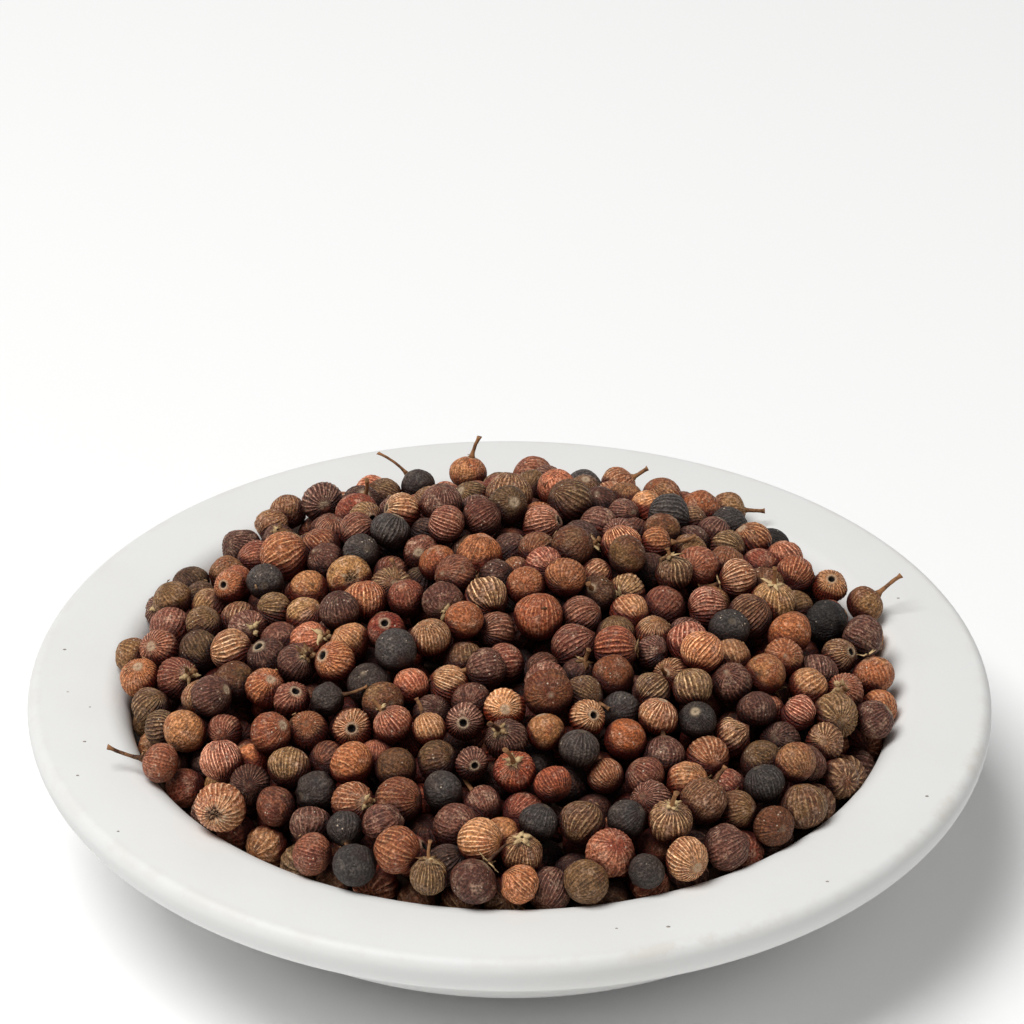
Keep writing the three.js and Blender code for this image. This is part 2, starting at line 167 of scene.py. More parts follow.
class Graph:
    """The node tree of one material."""

    def __init__(self, name: str) -> None:
        """Makes an empty material.

        Args:
            name: Name of the material.
        """
        self.material = bpy.data.materials.new(name)
        self.material.use_nodes = True
        self.tree = self.material.node_tree
        self.tree.nodes.clear()

    def node(
        self,
        kind: str,
        settings: dict[str, Any] | None = None,
        values: dict[int | str, Any] | None = None,
    ) -> bpy.types.Node:
        """Adds a node, sets it up and fills its inputs.

        Args:
            kind: Type of the node.
            settings: Properties of the node, which are set first.
            values: Numbers, colours or links for the inputs, by name or place.

        Returns:
            The new node.
        """
        made = self.tree.nodes.new(kind)
        for name, setting in (settings or {}).items():
            setattr(made, name, setting)
        for key, value in (values or {}).items():
            if isinstance(value, Shade):
                self.tree.links.new(value.socket, made.inputs[key])
            else:
                made.inputs[key].default_value = value
        return made

    def math(self, operation: str, *terms: Number) -> Shade:
        """Adds a Math node.

        Args:
            operation: Blender's name of the operation.
            terms: Numbers or shades that it works on.

        Returns:
            Its result.
        """
        values = dict(enumerate(terms))
        return Shade(self, self.node("ShaderNodeMath", {"operation": operation}, values).outputs[0])

    def mix(self, share: Number, one: Any, other: Any, blend: str = "MIX") -> Shade:
        """Mixes two colours.

        Args:
            share: How much of the other colour is taken, from 0 to 1.
            one: First colour.
            other: Second colour.
            blend: Blender's name of the way to mix.

        Returns:
            The mixed colour.
        """
        settings = {"data_type": "RGBA", "blend_type": blend, "clamp_factor": True}
        made = self.node("ShaderNodeMix", settings, {0: share, 6: one, 7: other})
        return Shade(self, made.outputs[2])

    def place(self) -> Shade:
        """Place on the object in metres."""
        return Shade(self, self.node("ShaderNodeTexCoord").outputs["Object"])

    def split(self, vector: Shade) -> tuple[Shade, Shade, Shade]:
        """Splits a vector or a colour into its three numbers.

        Args:
            vector: Vector to split.

        Returns:
            Its three parts.
        """
        made = self.node("ShaderNodeSeparateXYZ", None, {0: vector})
        return tuple(Shade(self, output) for output in made.outputs)

    def join(self, x: Number, y: Number, z: Number) -> Shade:
        """Joins three numbers into a vector.

        Args:
            x: First part.
            y: Second part.
            z: Third part.

        Returns:
            The vector.
        """
        return Shade(self, self.node("ShaderNodeCombineXYZ", None, {0: x, 1: y, 2: z}).outputs[0])

    def record(self, name: str) -> tuple[Shade, Shade, Shade]:
        """Reads a colour attribute of the mesh as three numbers.

        Args:
            name: Name of the attribute.

        Returns:
            Its red, green and blue.
        """
        made = self.node("ShaderNodeAttribute", {"attribute_name": name})
        return self.split(Shade(self, made.outputs["Vector"]))

    def noise(self, vector: Shade, scale: float, detail: float = 2.0, rough: float = 0.5) -> Shade:
        """Adds cloudy noise.

        Args:
            vector: Where it is read.
            scale: Waves per unit.
            detail: Number of finer layers.
            rough: Strength of the finer layers.

        Returns:
            Noise of about 0 to 1, with 0.5 in the middle.
        """
        values = {"Vector": vector, "Scale": scale, "Detail": detail, "Roughness": rough}
        return Shade(self, self.node("ShaderNodeTexNoise", None, values).outputs[0])

    def specks(self, vector: Shade, scale: float) -> Shade:
        """Distance to the nearest of many scattered points, in cells.

        Args:
            vector: Where it is read.
            scale: Points per unit.

        Returns:
            The distance, about 0 to 1.
        """
        made = self.node("ShaderNodeTexVoronoi", None, {"Vector": vector, "Scale": scale})
        return Shade(self, made.outputs["Distance"])

    def finish(self, colour: Any, rough: Number, height: Shade, relief: float, **plain: float) -> None:
        """Joins the surface shader and the output.

        Args:
            colour: Base colour.
            rough: Roughness.
            height: Relief that bends the normals, about 0 to 1.
            relief: Height in metres that 1 stands for.
            plain: Other inputs of the surface shader that are the same all over.
        """
        bump = self.node("ShaderNodeBump", None, {"Strength": 1.0, "Distance": relief, "Height": height})
        values = {"Base Color": colour, "Roughness": rough, "Normal": Shade(self, bump.outputs[0])}
        values.update({name.replace("_", " "): value for name, value in plain.items()})
        surface = self.node("ShaderNodeBsdfPrincipled", None, values)
        self.node("ShaderNodeOutputMaterial", None, {"Surface": Shade(self, surface.outputs[0])})


# ---------------------------------------------------------------------------------------------
# Finishes
# ---------------------------------------------------------------------------------------------


@dataclass(frozen=True)
class DishGlaze:
    """Thin matte white glaze, faintly mottled, and worn to a warmer tone along its outer edge."""

    white: Colour = tint(231, 231, 229)
    shadow: Colour = tint(226, 225, 222)
    clay: Colour = tint(205, 192, 172)
    outer: float = 47.5 * MM
    top: float = 18.0 * MM
    wear: float = 0.12
    worn_headings: tuple[tuple[float, float], ...] = ((-24, 16), (-68, 12))
    worn_more: float = 0.2
    rough: float = 0.46
    relief: float = 0.06 * MM
    gloss: float = 0.4
    cloud_scale: float = 60.0
    worn_scale: float = 260.0
    fine_scale: float = 900.0

    def material(self) -> bpy.types.Material:
        """Builds the material.

        Returns:
            The glaze.
        """
        graph = Graph("dish_glaze")
        place = graph.place()
        x, y, z = graph.split(place)
        cloud = graph.noise(place, self.cloud_scale, 3.0)
        colour = graph.mix(cloud.ramp(0.4, 0.75) * 0.6, self.white, self.shadow)
        out = graph.math("SQRT", x * x + y * y)
        edge = (out.ramp(self.outer - 1.9 * MM, self.outer - 0.9 * MM)
                * out.ramp(self.outer + 0.1 * MM, self.outer - 0.4 * MM)
                * z.ramp(self.top - 1.4 * MM, self.top - 0.5 * MM))
        worn = graph.noise(place, self.worn_scale, 4.0, 0.7).ramp(0.42, 0.62)
        share = self.wear
        for heading, half_width in self.worn_headings:
            turn = math.radians(heading)
            along = (x * math.cos(turn) + y * math.sin(turn)) / out
            share = share + along.ramp(math.cos(math.radians(half_width)), 1.0) * self.worn_more
        colour = graph.mix(edge * worn * share, colour, self.clay)
        fine = graph.noise(place, self.fine_scale, 3.0)
        height = cloud * 0.6 + fine * 0.4
        rough = self.rough + fine * 0.12
        graph.finish(colour, rough, height, self.relief, Specular_IOR_Level=self.gloss)
        return graph.material


@dataclass(frozen=True)
class BerrySkin:
    """Dry skin of one hue: thin pale ridges from pole to pole over uneven patches and dust.

    Scales are waves per metre, and those of fibre and drift waves per ridge and from pole to pole.
    """

    name: str
    groove: Colour
    body: Colour
    patch: Colour
    ridge: Colour
    ridge_share: float = 0.95
    rough: float = 0.55
    dusk: Colour = tint(50, 24, 17)
    dust: Colour = tint(180, 148, 124)
    rim: Colour = tint(222, 194, 160)
    # Pale flecks: partly dust grains and partly painted glints on the grain.
    dust_and_glint: Colour = tint(236, 214, 188)
    # Near-black for the paint's dark share: inside a hole it is painted shade for the hole's depth.
    hole: Colour = tint(16, 9, 7)
    # Painted shade: the tint that the skin darkens towards where the berries around crowd in, in the heap's
    # gaps.
    depth: Colour = tint(124, 62, 36)
    fibre_scales: tuple[float, float] = (1.7, 6.0)
    drift_scales: tuple[float, float] = (0.3, 5.0)
    grain_scale: float = 4200.0
    patch_scale: float = 1000.0
    broad_scale: float = 330.0
    dust_and_glint_scale: float = 1500.0
    sharpness: float = 3.4
    darkest: float = 0.22
    lightness: float = 2.3
    relief: float = 0.2 * MM
    gloss: float = 0.4

    def material(self) -> bpy.types.Material:
        """Builds the material.

        Returns:
            The skin.
        """
        graph = Graph(f"skin_{self.name}")
        light, warm, stripe = graph.record("tone")
        dark, pale, painted_shade_share = graph.record("paint")
        place = graph.place()
        skin = graph.node("ShaderNodeUVMap", {"uv_map": "berry_skin"})
        across, along, _ = graph.split(Shade(graph, skin.outputs[0]))
        around, down = self.fibre_scales
        fibre = graph.noise(graph.join(across * around, along * down, 0.0), 1.0, 3.0, 0.65)
        around, down = self.drift_scales
        drift = graph.noise(graph.join(across * around, along * down, 3.7), 1.0, 2.0)
        grain = graph.noise(place, self.grain_scale, 3.0, 0.6)
        patchy = graph.noise(place, self.patch_scale, 3.0, 0.6)
        broad = graph.noise(place, self.broad_scale, 2.0, 0.5)

        turn = (across + (drift - 0.5) * 0.4) * (2 * math.pi)
        wave = turn.cosine() * 0.5 + 0.5
        second = (turn * 2.0 + 1.3).cosine() * 0.5 + 0.5
        reach = (along * math.pi).sine().ramp(0.1, 0.5)
        broken = (fibre + (patchy - 0.5) * 0.7).ramp(0.34, 0.62)
        ridges = (wave ** self.sharpness * 0.85 + second ** 3.0 * 0.3) * reach * stripe * broken
        grooves = (1 - wave) ** 1.6 * reach * stripe * (fibre.ramp(0.7, 0.4) * 0.4 + 0.6)

        colour = graph.mix((broad + (warm - 0.5) * 0.45).ramp(0.42, 0.6), self.body, self.patch)
        colour = graph.mix((patchy + (0.5 - broad) * 0.6).ramp(0.54, 0.7) * 0.55, colour, self.dusk)
        colour = graph.mix(grooves * 0.7, colour, self.groove)
        colour = graph.mix(fibre.ramp(0.56, 0.3) * 0.4, colour, self.groove)
        colour = graph.mix(ridges * self.ridge_share, colour, self.ridge)
        crisp = grain.ramp(0.34, 0.66)
        bloom = patchy.ramp(0.45, 0.32) * 0.25 + crisp * patchy.ramp(0.56, 0.4) * 0.25
        colour = graph.mix(bloom, colour, self.dust)
        value = (self.darkest + light * self.lightness) * (0.5 + crisp * 0.9) * (ridges * 0.45 + 0.95)
        colour = graph.mix(1.0, colour, graph.join(value, value, value), "MULTIPLY")
        # Pale flecks scattered at random: dust grains, and painted glints on the grain.
        specks = graph.specks(place, self.dust_and_glint_scale).ramp(0.16, 0.08) * broad.ramp(0.46, 0.6)
        colour = graph.mix(specks * 0.85, colour, self.dust_and_glint)
        colour = graph.mix(pale * (fibre * 0.4 + wave * 0.2 + 0.55), colour, self.rim)
        # Near-black where the paint's dark share is set; inside holes this is painted shade for their depth,
        # and on torn, scarred and bare ends it darkens the broken skin.
        colour = graph.mix(dark, colour, self.hole)
        # Painted shade: the skin is darkened towards the depth tint where neighbouring berries close in.
        shade = painted_shade_share.ramp(0.1, 0.95)
        colour = graph.mix(shade, colour, graph.mix(1.0, colour, self.depth, "MULTIPLY"))
        rough = self.rough + (0.5 - crisp) * 0.2 - ridges * 0.1
        height = fibre * 0.6 + crisp * 0.35 + wave * reach * stripe * 0.6 + patchy * 0.5
        graph.finish(colour, rough, height, self.relief, Specular_IOR_Level=self.gloss)
        return graph.material


@dataclass(frozen=True)
class Husk:
    """Dry, fibrous stalk, papery calyx, crumb or grain of clay."""

    name: str
    dark: Colour
    pale: Colour
    scar: Colour = tint(42, 26, 18)
    cloud_scale: float = 900.0
    grain_scale: float = 3500.0
    rough: float = 0.75
    relief: float = 0.06 * MM
    gloss: float = 0.25

    def material(self) -> bpy.types.Material:
        """Builds the material.

        Returns:
            The husk.
        """
        graph = Graph(self.name)
        light, _, _ = graph.record("tone")
        dark, pale, _ = graph.record("paint")
        place = graph.place()
        cloud = graph.noise(place, self.cloud_scale, 3.0, 0.6)
        grain = graph.noise(place, self.grain_scale, 2.0, 0.6)
        share = (cloud + (grain - 0.5) * 0.6 + (light - 0.5) * 0.8 + pale * 0.3).ramp(0.25, 0.75)
        colour = graph.mix(share, self.dark, self.pale)
        colour = graph.mix(dark * 0.8, colour, self.scar)
        height = cloud * 0.5 + grain * 0.5
        graph.finish(colour, self.rough, height, self.relief, Specular_IOR_Level=self.gloss)
        return graph.material


@dataclass(frozen=True)
class DeepShade:
    """Painted shade: dark brown for the depth of the heap, seen in the gaps among and below the berries."""

    dark: Colour = tint(34, 22, 16)
    pale: Colour = tint(84, 56, 40)
    cloud_scale: float = 700.0
    rough: float = 0.85
    relief: float = 0.3 * MM
    gloss: float = 0.2

    def material(self) -> bpy.types.Material:
        """Builds the material.

        Returns:
            The depth's finish.
        """
        graph = Graph("heap_depth")
        cloud = graph.noise(graph.place(), self.cloud_scale, 4.0, 0.6)
        colour = graph.mix(cloud.ramp(0.4, 0.7), self.dark, self.pale)
        graph.finish(colour, self.rough, cloud, self.relief, Specular_IOR_Level=self.gloss)
        return graph.material


@dataclass(frozen=True)
class Plain:
    """Even finish of the studio's floor."""

    name: str
    colour: Colour
    rough: float
    cloud_scale: float = 4.0
    relief: float = 0.01 * MM

    def material(self) -> bpy.types.Material:
        """Builds the material.

        Returns:
            The even finish.
        """
        graph = Graph(self.name)
        cloud = graph.noise(graph.place(), self.cloud_scale, 1.0)
        graph.finish(self.colour, self.rough, cloud, self.relief)
        return graph.material


def skin(name: str, *tones: tuple[int, int, int], **rest: Any) -> BerrySkin:
    """Makes a skin from screen colours.

    Args:
        name: Name of the hue.
        tones: Screen colours of groove, body, patch and ridge.
        rest: Other fields of the skin that aren't the usual ones.

    Returns:
        The skin.
    """
    return BerrySkin(name, *(tint(*tone) for tone in tones), **rest)


class Hue(Enum):
    """Hues of the berries' skins, each as groove, body, patch and ridge."""

    RUDDY = skin("ruddy", (74, 27, 11), (153, 81, 48), (126, 54, 31), (208, 156, 128))
    RUSSET = skin("russet", (82, 33, 12), (168, 93, 46), (145, 65, 29), (218, 168, 124))
    TAWNY = skin("tawny", (88, 44, 18), (175, 113, 64), (150, 79, 39), (224, 186, 148))
    OLIVE = skin("olive", (58, 34, 14), (138, 95, 51), (111, 62, 32), (196, 162, 122))
    PLUM = skin("plum", (44, 16, 9), (106, 56, 38), (84, 42, 28), (166, 128, 110), ridge_share=0.75)
    SLATE = skin("slate", (22, 18, 16), (60, 53, 49), (64, 51, 44), (106, 98, 93),
                 ridge_share=0.6, rough=0.58, dust=tint(104, 92, 84))
    RED = skin("red", (84, 25, 11), (164, 75, 41), (136, 44, 26), (212, 142, 104), ridge_share=0.7)


HUE_SHARES: dict[Hue, float] = {
    Hue.RUDDY: 0.22,
    Hue.RUSSET: 0.12,
    Hue.TAWNY: 0.20,
    Hue.OLIVE: 0.22,
    Hue.PLUM: 0.20,
    Hue.SLATE: 0.04,
    Hue.RED: 0.0,
}


# ---------------------------------------------------------------------------------------------
# Meshes
# ---------------------------------------------------------------------------------------------


class MeshBuffer:
    """Collects the vertices, faces and records of one piece, in millimetres."""

    def __init__(self) -> None:
        """Starts an empty piece."""
        self.places: list[np.ndarray] = []
        self.corners: list[np.ndarray] = []
        self.sides: list[np.ndarray] = []
        self.skins: list[np.ndarray] = []
        self.tones: list[np.ndarray] = []
        self.paints: list[np.ndarray] = []
        self.count = 0

    def add(
        self,
        places: np.ndarray,
        faces: Iterable[np.ndarray],
        tone: Sequence[float] = (0.5, 0.5, 0.5),
        paint: np.ndarray | None = None,
        skins: Iterable[np.ndarray] | None = None,
    ) -> None:
        """Adds one closed form.

        Args:
            places: Vertices, one row each.
            faces: Arrays of faces, each with the same number of corners.
            tone: Lightness, warmth and stripes of the whole form.
            paint: Dark, pale and painted shade shares of each vertex.
            skins: Skin coordinates of each face's corners, in the order of faces.
        """
        self.places.append(places)
        for block in faces:
            self.corners.append((block + self.count).ravel())
            self.sides.append(np.full(len(block), block.shape[1]))
        if skins is not None:
            self.skins.extend(block.reshape(-1, 2) for block in skins)
        self.tones.append(np.tile([*tone, 1.0], (len(places), 1)))
        painted = np.zeros((len(places), 3)) if paint is None else paint
        self.paints.append(np.column_stack([painted, np.ones(len(places))]))
        self.count += len(places)

    def piece(self, name: str, material: bpy.types.Material) -> bpy.types.Object:
        """Makes the piece, smooth and in the scene.

        Args:
            name: Name of the piece.
            material: Its finish.

        Returns:
            The new object.
        """
        mesh = bpy.data.meshes.new(name)
        corners = np.concatenate(self.corners).astype(np.int32)
        sides = np.concatenate(self.sides)
        starts = np.concatenate([[0], np.cumsum(sides)[:-1]]).astype(np.int32)
        mesh.vertices.add(self.count)
        mesh.vertices.foreach_set("co", (np.concatenate(self.places) * MM).astype(np.float32).ravel())
        mesh.loops.add(len(corners))
        mesh.loops.foreach_set("vertex_index", corners)
        mesh.polygons.add(len(sides))
        mesh.polygons.foreach_set("loop_start", starts)
        mesh.update(calc_edges=True)
        mesh.validate()
        mesh.shade_smooth()
        for label, rows in (("tone", self.tones), ("paint", self.paints)):
            record = mesh.attributes.new(label, "FLOAT_COLOR", "POINT")
            record.data.foreach_set("color", np.concatenate(rows).astype(np.float32).ravel())
        if self.skins:
            layer = mesh.uv_layers.new(name="berry_skin")
            layer.uv.foreach_set("vector", np.concatenate(self.skins).astype(np.float32).ravel())
        mesh.materials.append(material)
        return placed(name, mesh)


def settle_in(piece: bpy.types.Object, node: str) -> bpy.types.Object:
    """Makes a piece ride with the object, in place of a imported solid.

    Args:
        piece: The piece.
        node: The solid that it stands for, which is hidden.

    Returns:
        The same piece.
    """
    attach(piece, BODY)
    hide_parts(node)
    mesh = piece.data
    log.info("%s: %d triangles", piece.name, len(mesh.loops) - 2 * len(mesh.polygons))
    return piece


def revolved(section: np.ndarray, segments: int) -> tuple[np.ndarray, list[np.ndarray]]:
    """Revolves a section that starts and ends on the axis.

    Args:
        section: Rows of radius and height, from the axis below to the axis above.
        segments: Number of sides round the axis.

    Returns:
        The vertices, and the arrays of faces.
    """
    turns = np.arange(segments) * 2 * np.pi / segments
    rings = [
        np.column_stack([r * np.cos(turns), r * np.sin(turns), np.full(segments, z)])
        for r, z in section[1:-1]
    ]
    poles = np.array([[0, 0, section[0][1]], [0, 0, section[-1][1]]])
    places = np.concatenate([*rings, poles])
    one = np.arange(segments)
    other = (one + 1) % segments
    faces = []
    for ring in range(len(rings) - 1):
        low, high = ring * segments, (ring + 1) * segments
        faces.append(np.column_stack([low + one, low + other, high + other, high + one]))
    first, last = len(places) - 2, len(places) - 1
    top = (len(rings) - 1) * segments
    faces.append(np.column_stack([np.full(segments, first), other, one]))
    faces.append(np.column_stack([np.full(segments, last), top + one, top + other]))
    return places, faces


# ---------------------------------------------------------------------------------------------
# Dish
# ---------------------------------------------------------------------------------------------


@dataclass
class Dish:
    """Shallow dish with a wide flat rim, a rounded well and a foot ring, in millimetres."""

    diameter: float = 95.0
    height: float = 18.0
    well_radius: float = 37.4
    well_depth: float = 14.0
    well_floor_radius: float = 20.0
    shoulder_round: float = 2.7
    edge_round: tuple[float, float] = (1.2, 1.3)
    under_round: tuple[float, float] = (1.9, 2.6)
    wall: float = 3.4
    foot_radius: float = 22.0
    foot_width: float = 2.6
    foot_height: float = 1.4
    foot_slope: float = 0.6
    segments: int = 192
    steps: int = 8
    glaze: DishGlaze = field(default_factory=DishGlaze)

    def quarter(
        self, start: Sequence[float], corner: Sequence[float], end: Sequence[float]
    ) -> list[tuple[float, float]]:
        """Points of a quarter of an ellipse after its start.

        Args:
            start: Where it starts.
            corner: Corner that it rounds.
            end: Where it ends.

        Returns:
            The points, with the end and without the start.
        """
        begin, bend, stop = (np.array(point, float) for point in (start, corner, end))
        turns = np.linspace(0, np.pi / 2, self.steps + 1)[1:, None]
        middle = begin + stop - bend
        return [tuple(p) for p in middle + (bend - stop) * np.cos(turns) + (bend - begin) * np.sin(turns)]

    def section(self, grown: float = 0.0) -> np.ndarray:
        """Section from the axis below, round the rim, to the axis in the well.

        Args:
            grown: How far the well's surface stands out from the real one.

        Returns:
            Rows of radius and height.
        """
        outer = self.diameter / 2
        top = self.height + grown
        under = self.height - self.edge_round[1] - self.under_round[1]
        widest = (outer, self.height - self.edge_round[1])
        wall_top = (self.well_radius + self.wall, under)
        foot_top = (self.foot_radius + self.foot_slope, self.foot_height)
        lip = (outer - self.under_round[0], under)
        flat = (outer - self.edge_round[0], top)
        shoulder = (self.well_radius + self.shoulder_round, top)
        return np.array([
            (0, self.foot_height),
            (self.foot_radius - self.foot_width - self.foot_slope, self.foot_height),
            (self.foot_radius - self.foot_width, 0),
            (self.foot_radius, 0),
            foot_top,
            *self.quarter(foot_top, (wall_top[0], foot_top[1]), wall_top),
            lip,
            *self.quarter(lip, (outer, under), widest),
            *self.quarter(widest, (outer, top), flat),
            shoulder,
            *self.well(grown, shoulder, top),
        ])

    def well(self, grown: float, shoulder: tuple[float, float], top: float) -> list[tuple[float, float]]:
        """Points down the shoulder and the well's wall to the axis.

        Args:
            grown: How far the surface stands out from the real one.
            shoulder: Where the flat rim ends.
            top: Height of the flat rim.

        Returns:
            The points.
        """
        wall = self.well_radius - grown
        floor = self.height - self.well_depth + grown
        wall_start = (wall, self.height - self.shoulder_round)
        floor_edge = (self.well_floor_radius, floor)
        down = self.quarter(shoulder, (wall, top), wall_start)
        return [*down, *self.quarter(wall_start, (wall, floor), floor_edge), (0, floor)]

    def build(self) -> bpy.types.Object:
        """Makes the dish.

        Returns:
            The dish in its glaze.
        """
        buffer = MeshBuffer()
        buffer.add(*revolved(self.section(), self.segments))
        return settle_in(buffer.piece("dish", self.glaze.material()), DISH_NODE)


@dataclass
class Pinholes:
    """Tiny open bubbles in the glaze of the flat rim, in millimetres and degrees."""

    dish: Dish
    places: tuple[tuple[float, float, float], ...] = (
        (44.6, 175, 0.16),
        (43.5, -175, 0.12),
        (41.4, -171, 0.10),
        (42.7, -163, 0.16),
        (44.8, -156, 0.14),
        (45.4, -143, 0.12),
        (44.6, -28, 0.16),
        (45.2, -50, 0.15),
        (44.0, -71, 0.18),
        (43.0, -77, 0.12),
        (42.2, 20, 0.14),
        (43.8, 96, 0.15),
    )
    husk: Husk = Husk("pinhole_clay", tint(120, 110, 98), tint(186, 178, 166))
    sides: int = 9
    sunk: float = 0.05
    shoulder: tuple[float, float] = (0.7, 0.015)
    rise: float = 0.02
    stretch: float = 1.5
    tone: tuple[float, float, float] = (0.4, 0.5, 0.5)

    def build(self) -> bpy.types.Object:
        """Makes the pinholes as low grains just proud of the glaze.

        Returns:
            The piece.
        """
        buffer = MeshBuffer()
        top = self.dish.height
        for out, heading, radius in self.places:
            share, rise = self.shoulder
            below = -self.sunk
            section = np.array([(0, below), (radius, below), (radius * share, rise), (0, self.rise)])
            places, faces = revolved(section, self.sides)
            turn = math.radians(heading)
            centre = (out * math.cos(turn), out * math.sin(turn), top)
            buffer.add(places * (self.stretch, 1.0, 1.0) + centre, faces, self.tone)
        return settle_in(buffer.piece("glaze_pinholes", self.husk.material()), DISH_NODE)


# ---------------------------------------------------------------------------------------------
# Heap: the rule that settles the berries
# ---------------------------------------------------------------------------------------------


class End(Enum):
    """What a berry has at its stalk's end."""

    BARE = "bare"
    SCAR = "scar"
    HOLE = "hole"
    TORN = "torn"
    STAR = "star"
    STALK = "stalk"
    STARRED_STALK = "starred stalk"


STARRED = (End.STAR, End.STARRED_STALK)
STALKED = (End.STALK, End.STARRED_STALK)


@dataclass(frozen=True)
class Chosen:
    """A berry whose place is listed, in millimetres and degrees."""

    x: float
    y: float
    across: float
    hue: Hue
    end: End = End.BARE
    heading: float = -90.0
    slope: float = 30.0
    stalk: float = 0.0
    stripes: float = 0.6
    light: float = 0.5


